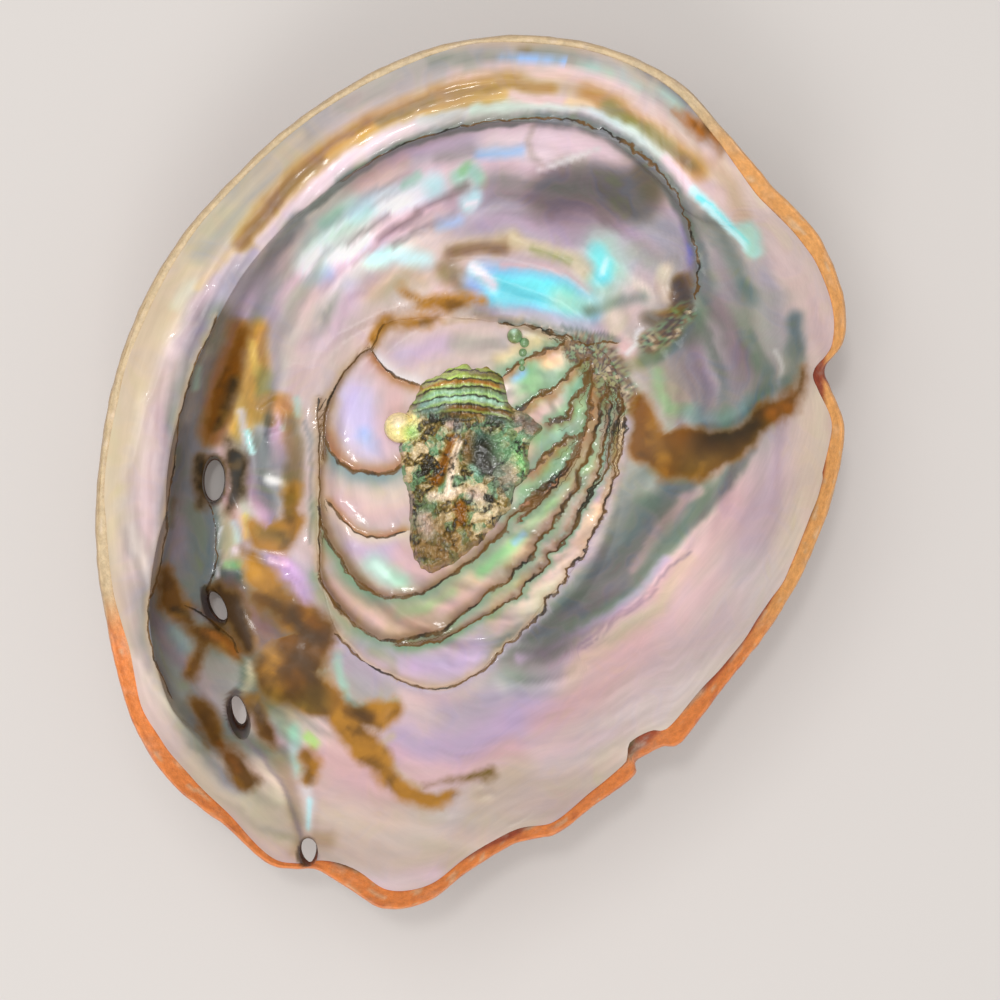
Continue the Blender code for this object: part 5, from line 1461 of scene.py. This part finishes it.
# Strokes of colour on the crust.
crustStrokes = [
    ("darkOlive", 20, 1.0, 0.4, [(414, 500), (424, 530), (430, 560)]),
    ("brown", 22, 1.0, 0.6, [(430, 540), (456, 546), (438, 562)]),
    ("lime", 12, 1.0, 0.85, [(432, 388), (455, 374), (466, 371)]),
    ("oliveGreen", 10, 1.0, 0.7, [(472, 374), (496, 382)]),
    ("bandGreen", 9, 1.0, 0.85, [(420, 402), (440, 396), (470, 392), (505, 398)]),
    ("mint", 6, 1.0, 0.75, [(425, 405), (437, 398), (470, 398), (500, 402)]),
    ("orangeBrown", 3, 1.0, 0.8, [(424, 390), (446, 383), (470, 381), (498, 388)]),
    ("teal", 8, 1.0, 0.85, [(421, 408), (432, 412), (440, 407)]),
    ("deepTeal", 7, 1.0, 0.8, [(492, 418), (502, 421)]),
    ("greyPink", 7, 1.0, 0.9, [(449, 422), (457, 424)]),
    ("darkTeal", 17, 0.8, 0.95, [(481, 446), (486, 460)]),
    # Painted shade: near black in the bottom of the crust's hollow
    ("nearBlack", 12, 0.8, 0.9, [(486, 450), (484, 464)]),
    ("mint", 4, 1.0, 0.8, [(472, 468), (478, 474)]),
    ("brown", 8, 1.0, 0.8, [(466, 440), (468, 456)]),
    ("amber", 6.5, 0.7, 0.95, [(456, 438), (447, 460), (437, 480)]),
    ("amber", 8, 0.8, 0.95, [(460, 508), (461, 520)]),
    ("cream", 4, 0.7, 0.95, [(460, 441), (453, 466), (448, 492)]),
    ("cream", 5, 0.8, 0.9, [(431, 495), (444, 498), (456, 492)]),
    ("bandGreen", 12, 1.0, 0.75, [(500, 440), (503, 458)]),
    ("smoke", 14, 1.0, 0.7, [(500, 474), (506, 484)]),
    ("leaf", 8, 1.0, 0.7, [(520, 454), (524, 468)]),
    ("mauveBrown", 9, 1.0, 0.8, [(520, 422), (532, 428)]),
    ("greyPink", 8, 1.0, 0.8, [(474, 496), (486, 500)]),
    ("sand", 11, 0.9, 0.8, [(482, 509), (492, 514)]),
    ("greyPink", 9, 1.0, 0.7, [(422, 518), (426, 530)]),
    ("pearlYellow", 18, 0.3, 0.95, [(401, 427)]),
    ("cream", 8, 1.0, 0.7, [(398, 422)]),
    ("yellowGold", 7, 1.0, 0.5, [(406, 432)]),
    ("leaf", 9, 1.0, 0.6, [(411, 433)]),
    ("bandGreen", 11, 0.5, 0.8, [(514, 332)]),
    ("mintWhite", 4, 1.0, 0.8, [(512, 329)]),
    ("bandGreen", 8, 0.5, 0.9, [(523, 342), (522, 366)]),
]


def nearHoles(x, y):                 # 1 on the wall of a hole, 0 away from it
    wall = np.zeros(x.shape)
    for cx, cy, halfWide, halfLong, turn, _, flare in shell["holes"]:
        px, py = turned(x - cx, y - cy, turn)
        away = np.hypot(px / halfWide, py / halfLong)
        wall = np.maximum(wall, ease(1.25 * flare, 1.0 * flare, away))
    return wall


sheenMiddle = (500, 430)             # pixel that the streaks run round
grainy = {                           # pixels where the layers' edges run together
    "besideScar": [(584, 352), (604, 366), (620, 396)], "besideWidth": (24, 12),
    "atSpire": [(650, 342), (668, 332), (684, 312)], "spireWidth": (15, 7), "size": 4.6,
}

# How strong the soft streaks round the scar are: strength, width in pixels, points.
sheenPlaces = [
    (0.8, 40, [(300, 310), (360, 240), (420, 200)]),
    (0.4, 50, [(470, 190), (570, 210), (640, 250)]),
    (0.4, 30, [(400, 290), (500, 300), (600, 320)]),
    (0.6, 45, [(720, 330), (700, 480), (640, 560), (540, 650)]),
    (0.7, 55, [(540, 370), (596, 430), (560, 530), (480, 600), (400, 625)]),
    (0.9, 42, [(240, 330), (250, 430), (260, 560), (290, 720)]),
    (0.5, 30, [(170, 620), (200, 720), (280, 820)]),
    (0.4, 24, [(130, 560), (160, 380), (260, 230), (420, 110), (600, 90), (720, 170)]),
]


def sheen(spot):                     # streaks that run round the scar, about -0.5 to 0.5
    bent = warped(spot, 1.4)
    dx, dy = bent[:, 0] - sheenMiddle[0], bent[:, 1] - sheenMiddle[1]
    away, turn = np.hypot(dx, dy), np.arctan2(dy, dx) / (2 * math.pi) + 0.5
    light = 0.6 * roundNoise(away / 9, turn, 22, 87) + 0.4 * roundNoise(away / 6, turn, 34, 88)
    hue = roundNoise(away / 14, turn, 20, 89)
    amount = np.full(len(spot), 0.16)
    for strength, width, points in sheenPlaces:
        amount = np.maximum(amount, strength * ease(1.5, 0.5, lineDistance(points, spot) / width))
    return (light - 0.5) * amount, (hue - 0.5) * amount


def grains(spot):                    # rough grains: where they lie, and their cells
    x, y = spot[:, 0], spot[:, 1]
    away = lineDistance(grainy["besideScar"], spot) + 9 * mottle(x, y, 14, 93)
    zone = np.maximum(ease(*grainy["besideWidth"], away),
                      ease(*grainy["spireWidth"], lineDistance(grainy["atSpire"], spot)))
    bentX, bentY = x + 4 * mottle(x, y, 6, 94), y + 4 * mottle(x, y, 6, 96)
    return zone, *cells(bentX, bentY, grainy["size"], 95)


nacrePaint = {
    "light": 0.75, "hue": (26, -22, 14),             # how far the sheen moves a colour
    "sideReach": (3.6, 4.2),         # reach of the tones beside a layer's edge, in its widths
    "thickEdges": (480, 560),        # pixels between which the dark lines grow thicker
    "holeShade": 0.85, "noStain": -20.0, "stainBlend": 3, "silk": (60, 6), "far": 9.0,
}


def silkOf(mesh, grown, turn):       # place along and across the growth, for fine streaks
    write(mesh, "silk", grown * nacrePaint["silk"][0], turn * nacrePaint["silk"][1], 0 * turn)


def paintStains(mesh, bent):
    field = np.full(len(bent), nacrePaint["noStain"])
    colour = np.zeros((len(bent), 3))
    total = np.full(len(bent), 1e-9)
    for tone, line in stains:
        d, place = along([(x, y) for x, y, _ in line], bent[:, 0], bent[:, 1])
        depth = np.interp(place, range(len(line)), [reach for _, _, reach in line]) - np.abs(d)
        weight = np.exp(np.clip(depth, -30, 8) / nacrePaint["stainBlend"])
        colour += weight[:, None] * np.array(tones[tone], float)
        total += weight
        field = np.maximum(field, depth)
    colour /= total[:, None]
    brush(colour, bent, stainStrokes)
    blotch = mottle(bent[:, 0], bent[:, 1], 17, 85)
    layAll(colour, (("darkBrown", 0.4 * ease(0.04, 0.34, blotch)),
                    ("gold", 0.3 * ease(-0.1, -0.34, blotch))))
    writeColour(mesh, "stainTint", colour)
    write(mesh, "stain", field)


def paintNacre(piece):
    mesh = piece.data
    points = meshPoints(mesh)
    spot = photoSpot(points)
    bent = warped(spot)
    colour = plainColour("blush", len(points))
    brush(colour, bent, strokes)
    light, hue = sheen(spot)
    colour *= (1 + nacrePaint["light"] * light)[:, None]
    colour += hue[:, None] * np.array(nacrePaint["hue"])
    rough = serrated(spot)
    far = nacrePaint["far"]
    across, near = np.full(len(points), far), np.full(len(points), far)
    x, y = spot[:, 0], spot[:, 1]
    thick = 0.3 + 1.0 * noise(x, y, 13, 81) + 0.35 * ease(*nacrePaint["thickEdges"], x)
    strength = 0.62 + 0.38 * noise(x, y, 24, 83)
    inReach, outReach = nacrePaint["sideReach"]
    for half, inner, outer, line in layerEdgesAndShadeLines:
        d = -along(line, rough[:, 0], rough[:, 1])[0]
        for tone, side, width in ((inner, d, inReach * half), (outer, -d, outReach * half)):
            lay(colour, tone, strength * np.where(side > 0, np.exp(-(side / width) ** 2), 0))
        d = d / (half * thick)
        closer = np.abs(d) < near
        across = np.where(closer, np.clip(d, -far, far), across)
        near = np.where(closer, np.abs(d), near)
    zone, first, second, name = grains(spot)
    layAll(colour, (("oliveGreen", 0.6 * zone),
                    ("bandGreen", 0.6 * ease(0.35, 0.25, name) * zone),
                    ("brown", 0.8 * ease(0.5, 0.6, name) * zone),
                    ("sand", 0.8 * ease(0.86, 0.92, name) * zone),
                    ("darkBrown", 0.85 * ease(0.2, 0.05, second - first) * zone),
                    # Painted shade: the walls of the holes darkened
                    ("darkBrown", nacrePaint["holeShade"] * nearHoles(points[:, 0], points[:, 1]))))
    writeColour(mesh, "tint", colour)
    write(mesh, "edgeLine", across, near, 0 * near)
    paintStains(mesh, bent)
    silkOf(mesh, *growth(points[:, 0], points[:, 1]))


outerPaint = {                       # degrees round the shell, and millimetres from the margin
    "lowerStarts": (193, 203), "lowerEnds": (345, 320), "rightStarts": (325, 345),
    "rightEnds": (58, 46), "shelfStarts": (48, 60), "shelfEnds": (207, 197),
    "bandReach": (8, 6.5), "bandDepth": (-7.0, -5.0),
}


def paintOuter(piece):
    mesh = piece.data
    points = meshPoints(mesh)
    x, y = points[:, 0], points[:, 1]
    angle = np.arctan2(y, x)
    degrees = np.degrees(angle) % 360
    grown, turn = growth(x, y)
    out = plainColour("rust", len(points))
    bands, chalky = noise(grown * 60, turn * 2, 1.6, 71), noise(grown * 60, turn * 3, 2.5, 73)
    layAll(out, (("brickRed", 0.8 * ease(0.35, 0.65, bands)),
                 ("chalk", 0.7 * ease(0.62, 0.8, chalky) * ease(0.1, 0.4, grown)),
                 ("algae", 0.6 * ease(0.02, 0.22, mottle(x, y, 16, 75))),
                 ("chalk", 0.75 * ease(0.04, 0.2, chalkPatches(x, y))),
                 ("chalk", 0.5 * ease(0.5, 0.1, grown))))
    rim = polar(marginCurve, angle) - np.hypot(x, y)
    height = points[:, 2] - around(shell["marginHeight"], angle)
    band = ease(*outerPaint["bandReach"], rim) * ease(*outerPaint["bandDepth"], height)
    lower, shelf = (ease(*outerPaint[part + "Starts"], degrees)
                    * ease(*outerPaint[part + "Ends"], degrees) for part in ("lower", "shelf"))
    right = ease(*outerPaint["rightStarts"], degrees) + ease(*outerPaint["rightEnds"], degrees)
    rimTone = out.copy()
    streak = noise(degrees, rim * 2, 1.5, 77)
    layAll(rimTone, (("lightOrange", 1), ("orange", 0.85 * lower), ("lightOrange", 0.85 * right),
                     ("sand", 0.9 * shelf), ("paleOrange", 0.7 * ease(3.2, 5, rim)),
                     ("rust", 0.4 * lower * ease(0.6, 0.85, streak) * ease(2.2, 0.6, rim)),
                     ("cream", 0.5 * ease(0.25, 0.1, streak)),
                     ("tan", 0.7 * shelf * ease(1.2, 0.2, rim))))
    out += (rimTone - out) * band[:, None]
    # Painted shade: the walls of the holes darkened
    lay(out, "darkBrown", 0.8 * nearHoles(x, y))
    writeColour(mesh, "tint", out)
    write(mesh, "rimBand", band)
    silkOf(mesh, grown, turn)


def paintCrust(piece):
    mesh = piece.data
    points = meshPoints(mesh)
    spot = photoSpot(points)
    x, y = points[:, 0], points[:, 1]
    colour = plainColour("brown", len(points))
    layer, cap = capLayers(spot)
    pearl = np.zeros(len(points))
    for cx, cy, radius, _ in scarCrust["pearls"]:
        pearl = np.maximum(pearl, ease(1.04, 0.99, np.hypot(x - cx, y - cy) / radius))
    loose, smooth = (1 - pearl) * (1 - cap), cap * (1 - pearl)
    high = crumbs(x, y)
    name = cells(x + 1.6 * mottle(x, y, 2.6, 51), y, 1.9, 91)[2]
    strewn = loose * ease(0.42, 0.66, high)
    layAll(colour, (("olive", loose), ("bandGreen", loose * ease(0.55, 0.35, name)),
                    ("sand", 0.9 * strewn * ease(0.56, 0.66, name)),
                    ("sand", 0.7 * strewn * ease(0.2, 0.1, name))))
    brush(colour, warped(spot, 0.6), crustStrokes)
    ridge = ease(0.5, 0.12, np.abs(np.sin(layer * math.pi)))
    # Dark gaps between the crumbs, darkened by their low height: partly their colour, partly painted
    # shade
    layAll(colour, (("nearBlack", 0.92 * loose * ease(0.5, 0.24, high)),
                    ("lime", 0.55 * smooth * ease(0.45, 0.8, np.mod(layer, 1))),
                    ("nearBlack", 0.9 * smooth * ridge)))
    writeColour(mesh, "tint", colour)
    write(mesh, "gloss", np.maximum(pearl, 0.5 * cap))


def newMaterial(name):
    material = bpy.data.materials.new(name)
    material.use_nodes = True
    tree = material.node_tree
    return material, tree, tree.nodes["Principled BSDF"]


def node(tree, kind, inputs=None, **settings):
    made = tree.nodes.new(kind)
    for key, value in settings.items():
        setattr(made, key, value)
    for key, value in (inputs or {}).items():
        if isinstance(value, bpy.types.NodeSocket):
            tree.links.new(value, made.inputs[key])
        else:
            made.inputs[key].default_value = value
    return made


def attribute(tree, name, socket="Fac"):
    return node(tree, "ShaderNodeAttribute", attribute_name=name).outputs[socket]


def stepped(tree, value, low, high, toLow=0.0, toHigh=1.0):
    made = node(tree, "ShaderNodeMapRange", {"Value": value, "From Min": low, "From Max": high,
                                             "To Min": toLow, "To Max": toHigh},
                interpolation_type="SMOOTHSTEP")
    return made.outputs["Result"]


def maths(tree, operation, *values):
    return node(tree, "ShaderNodeMath", dict(enumerate(values)), operation=operation).outputs[0]


def blended(tree, factor, under, over):
    under, over = (socketColour(tones[item]) if isinstance(item, str) else item
                   for item in (under, over))
    return node(tree, "ShaderNodeMix", {0: factor, 6: under, 7: over}, data_type="RGBA").outputs[2]


def clouds(tree, place, scale, detail, more=None):
    inputs = {"Vector": place, "Scale": scale, "Detail": detail, **(more or {})}
    return node(tree, "ShaderNodeTexNoise", inputs).outputs["Fac"]


def objectPlace(tree):
    return node(tree, "ShaderNodeTexCoord").outputs["Object"]


def scaled(tree, colour, amount):
    return node(tree, "ShaderNodeVectorMath", {0: colour, "Scale": amount},
                operation="SCALE").outputs[0]


def roughen(tree, shader, height, strength, distance):
    bump = node(tree, "ShaderNodeBump", {"Height": height, "Strength": strength,
                                         "Distance": distance})
    tree.links.new(bump.outputs["Normal"], shader.inputs["Normal"])


def lustreGroup():                   # shifting pale colours of nacre, laid over a colour
    tree = bpy.data.node_groups.new("nacreLustre", "ShaderNodeTree")
    for name, way, kind in (("Color", "INPUT", "Color"), ("Silk", "INPUT", "Vector"),
                            ("Strength", "INPUT", "Float"), ("Color", "OUTPUT", "Color"),
                            ("Streaks", "OUTPUT", "Float")):
        tree.interface.new_socket(name, in_out=way, socket_type="NodeSocket" + kind)
    start = tree.nodes.new("NodeGroupInput")
    end = tree.nodes.new("NodeGroupOutput")
    patches = clouds(tree, objectPlace(tree), 95.0, 2.0, {"Distortion": 0.8})
    ramp = node(tree, "ShaderNodeValToRGB", {"Fac": patches})
    ramp.color_ramp.interpolation = "B_SPLINE"
    stops = ((0.28, "rose"), (0.40, "mint"), (0.48, "pinkWhite"), (0.56, "sky"), (0.64, "lilac"),
             (0.74, "lime"))
    points = ramp.color_ramp.elements
    while len(points) < len(stops):
        points.new(0.5)
    for point, (at, tone) in zip(points, stops):
        point.position = at
        point.color = socketColour(tones[tone])
    streaks = clouds(tree, start.outputs["Silk"], 1.6, 4.0, {"Roughness": 0.65})
    tinted = blended(tree, start.outputs["Strength"], start.outputs["Color"],
                     ramp.outputs["Color"])
    shaded = scaled(tree, tinted, stepped(tree, streaks, 0.3, 0.7, 0.965, 1.03))
    tree.links.new(shaded, end.inputs["Color"])
    tree.links.new(streaks, end.inputs["Streaks"])
    return tree


def nacreFinish(lustre):
    material, tree, shader = newMaterial("nacreFinish")
    place = objectPlace(tree)
    lit = node(tree, "ShaderNodeGroup", node_tree=lustre)
    tree.links.new(attribute(tree, "tint", "Color"), lit.inputs["Color"])
    tree.links.new(attribute(tree, "silk", "Vector"), lit.inputs["Silk"])
    lit.inputs["Strength"].default_value = 0.09
    fine, coarse = clouds(tree, place, 420.0, 3.0), clouds(tree, place, 130.0, 4.0)

    # Stains, with a wobbling edge that is a little lighter
    wobble = maths(tree, "MULTIPLY_ADD", coarse, 24.0, -12.0)
    depth = maths(tree, "ADD", attribute(tree, "stain"), wobble)
    mask = stepped(tree, depth, -8.0, 6.0)
    streaked = stepped(tree, coarse, 0.35, 0.6, 0.3, 0.0)
    stainColour = blended(tree, streaked, attribute(tree, "stainTint", "Color"), "darkBrown")
    stainColour = blended(tree, stepped(tree, depth, 8.0, -2.0, 0.0, 0.22), stainColour, "gold")
    colour = blended(tree, maths(tree, "MULTIPLY", mask, 0.97), lit.outputs["Color"], stainColour)

    # Dark lines at the edges of the scar's layers, and painted shade lines along the ledge's inner
    # edge and a ridge
    line = node(tree, "ShaderNodeSeparateXYZ", {0: attribute(tree, "edgeLine", "Vector")})
    jitter = maths(tree, "MULTIPLY_ADD", fine, 4.0, -2.0)
    across = maths(tree, "ABSOLUTE", maths(tree, "ADD", line.outputs["X"], jitter))
    dark = maths(tree, "MULTIPLY", stepped(tree, across, 1.15, 0.45),
                 stepped(tree, line.outputs["Y"], 3.4, 2.4))
    lineTone = blended(tree, stepped(tree, coarse, 0.36, 0.56), "nearBlack", "brown")
    colour = blended(tree, maths(tree, "MULTIPLY", dark, 0.9), colour, lineTone)
    tree.links.new(colour, shader.inputs["Base Color"])

    # Gloss: less of it on the stains
    tree.links.new(stepped(tree, fine, 0.3, 0.7, 0.3, 0.44), shader.inputs["Roughness"])
    shader.inputs["IOR"].default_value = 1.42
    shader.inputs["Specular IOR Level"].default_value = 0.22
    coat = maths(tree, "MULTIPLY_ADD", mask, -0.19, 0.22)
    tree.links.new(coat, shader.inputs["Coat Weight"])
    shader.inputs["Coat Roughness"].default_value = 0.09
    silky = maths(tree, "MULTIPLY", lit.outputs["Streaks"], 0.12)
    height = maths(tree, "MULTIPLY_ADD", dark, -0.6, silky)
    height = maths(tree, "ADD", height, maths(tree, "MULTIPLY", fine, 0.08))
    roughen(tree, shader, height, 0.5, 0.0004)
    return material


def outerFinish():
    material, tree, shader = newMaterial("outerFinish")
    place = objectPlace(tree)
    fine = clouds(tree, place, 620.0, 5.0, {"Roughness": 0.7})
    broad = clouds(tree, place, 170.0, 4.0)
    streaks = clouds(tree, attribute(tree, "silk", "Vector"), 3.0, 5.0)
    onRim = attribute(tree, "rimBand")
    colour = attribute(tree, "tint", "Color")
    for amount, rimShare, tone in ((stepped(tree, broad, 0.5, 0.75, 0.0, 0.5), 0.35, "chalk"),
                                   (stepped(tree, streaks, 0.42, 0.62, 0.0, 0.45), 0.15, "rust")):
        amount = maths(tree, "MULTIPLY", amount, stepped(tree, onRim, 0.0, 1.0, 1.0, rimShare))
        colour = blended(tree, amount, colour, tone)
    shaded = scaled(tree, colour, stepped(tree, fine, 0.3, 0.7, 0.82, 1.1))
    tree.links.new(shaded, shader.inputs["Base Color"])
    tree.links.new(stepped(tree, onRim, 0.0, 1.0, 0.75, 0.42), shader.inputs["Roughness"])
    height = maths(tree, "ADD", fine, maths(tree, "MULTIPLY", broad, 2.0))
    roughen(tree, shader, height, 0.6, 0.0005)
    return material


def crustFinish():
    material, tree, shader = newMaterial("crustFinish")
    fine = clouds(tree, objectPlace(tree), 900.0, 4.0, {"Roughness": 0.7})
    colour = attribute(tree, "tint", "Color")
    shaded = scaled(tree, colour, stepped(tree, fine, 0.3, 0.7, 1.0, 1.65))
    tree.links.new(shaded, shader.inputs["Base Color"])
    gloss = attribute(tree, "gloss")
    tree.links.new(stepped(tree, gloss, 0.0, 1.0, 0.3, 0.16), shader.inputs["Roughness"])
    shader.inputs["Coat Weight"].default_value = 0.6
    shader.inputs["Coat Roughness"].default_value = 0.06
    height = maths(tree, "MULTIPLY", fine, stepped(tree, gloss, 0.5, 1.0, 1.0, 0.1))
    roughen(tree, shader, height, 0.5, 0.0003)
    return material


studio = {
    "floorTone": (211, 206, 202), "floorSize": 3.0,
    "key": {"place": (-0.24, 0.28, 1.3), "size": 1.0, "power": 7.2},
    "front": {"place": (-0.12, -0.75, 0.9), "size": 0.5, "power": 3.9},
    "glint": {"place": (-0.05, 0.12, 0.8), "size": 0.06, "power": 0.9},
    "floorRoughness": 0.7, "world": 0.5, "worldColour": (1, 0.985, 0.97, 1),
}


def areaLight(name, place, size, power):
    light = bpy.data.lights.new(name, "AREA")
    light.size = size
    light.energy = power
    lamp = bpy.data.objects.new(name, light)
    lamp.location = place
    lamp.rotation_euler = Vector(place).to_track_quat("Z", "Y").to_euler()
    bpy.context.scene.collection.objects.link(lamp)


def makeStudio():
    bm = bmesh.new()
    bmesh.ops.create_grid(bm, x_segments=8, y_segments=8, size=studio["floorSize"] / 2)
    mesh = bpy.data.meshes.new("floor")
    bm.to_mesh(mesh)
    bm.free()
    floor = bpy.data.objects.new("floor", mesh)
    bpy.context.scene.collection.objects.link(floor)
    material, _, shader = newMaterial("floorFinish")
    shader.inputs["Base Color"].default_value = socketColour(studio["floorTone"])
    shader.inputs["Roughness"].default_value = studio["floorRoughness"]
    mesh.materials.append(material)
    for name in ("key", "front", "glint"):
        areaLight(name, **studio[name])
    world = bpy.data.worlds.new("studio")
    world.use_nodes = True
    sky = world.node_tree.nodes["Background"].inputs
    sky["Color"].default_value = studio["worldColour"]
    sky["Strength"].default_value = studio["world"]
    scene = bpy.context.scene
    scene.world = world
    scene.view_settings.view_transform = "Standard"
    lens = bpy.data.cameras.new("camera")
    lens.sensor_width = camera["sensor"]
    lens.lens = camera["sensor"] / (camera["across"] * camera["pixel"])
    lens.clip_start = camera["clipStart"]
    view = bpy.data.objects.new("camera", lens)
    view.location = Vector(camera["place"]) * mm
    scene.collection.objects.link(view)
    scene.camera = view


makeStudio()
print("stage: studio")
ends = bandEnds()
cutter = newObject("holeCutters", holeCutters())
cutter.hide_render = True
lining = newObject("nacre_lining", liningBody(ends))
cutHoles(lining, cutter)
print("stage: lining", len(lining.data.polygons))
outer = newObject("outer_layer", outerBody(ends))
cutHoles(outer, cutter)
print("stage: outer layer", len(outer.data.polygons))
scar = newObject("muscle_scar", scarBody())
scar.data.shade_smooth()
print("stage: muscle scar", len(scar.data.polygons))
crust = newObject("scar_crust", crustBody())
crust.data.shade_smooth()
print("stage: crust", len(crust.data.polygons))
bpy.data.objects.remove(cutter)

paintNacre(lining)
paintNacre(scar)
paintOuter(outer)
paintCrust(crust)
print("stage: paint")
lustre = lustreGroup()
finish = nacreFinish(lustre)
lining.data.materials.append(finish)
scar.data.materials.append(finish)
outer.data.materials.append(outerFinish())
crust.data.materials.append(crustFinish())
for piece in (lining, scar, outer, crust):
    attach(piece, "root")
    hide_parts("shell")
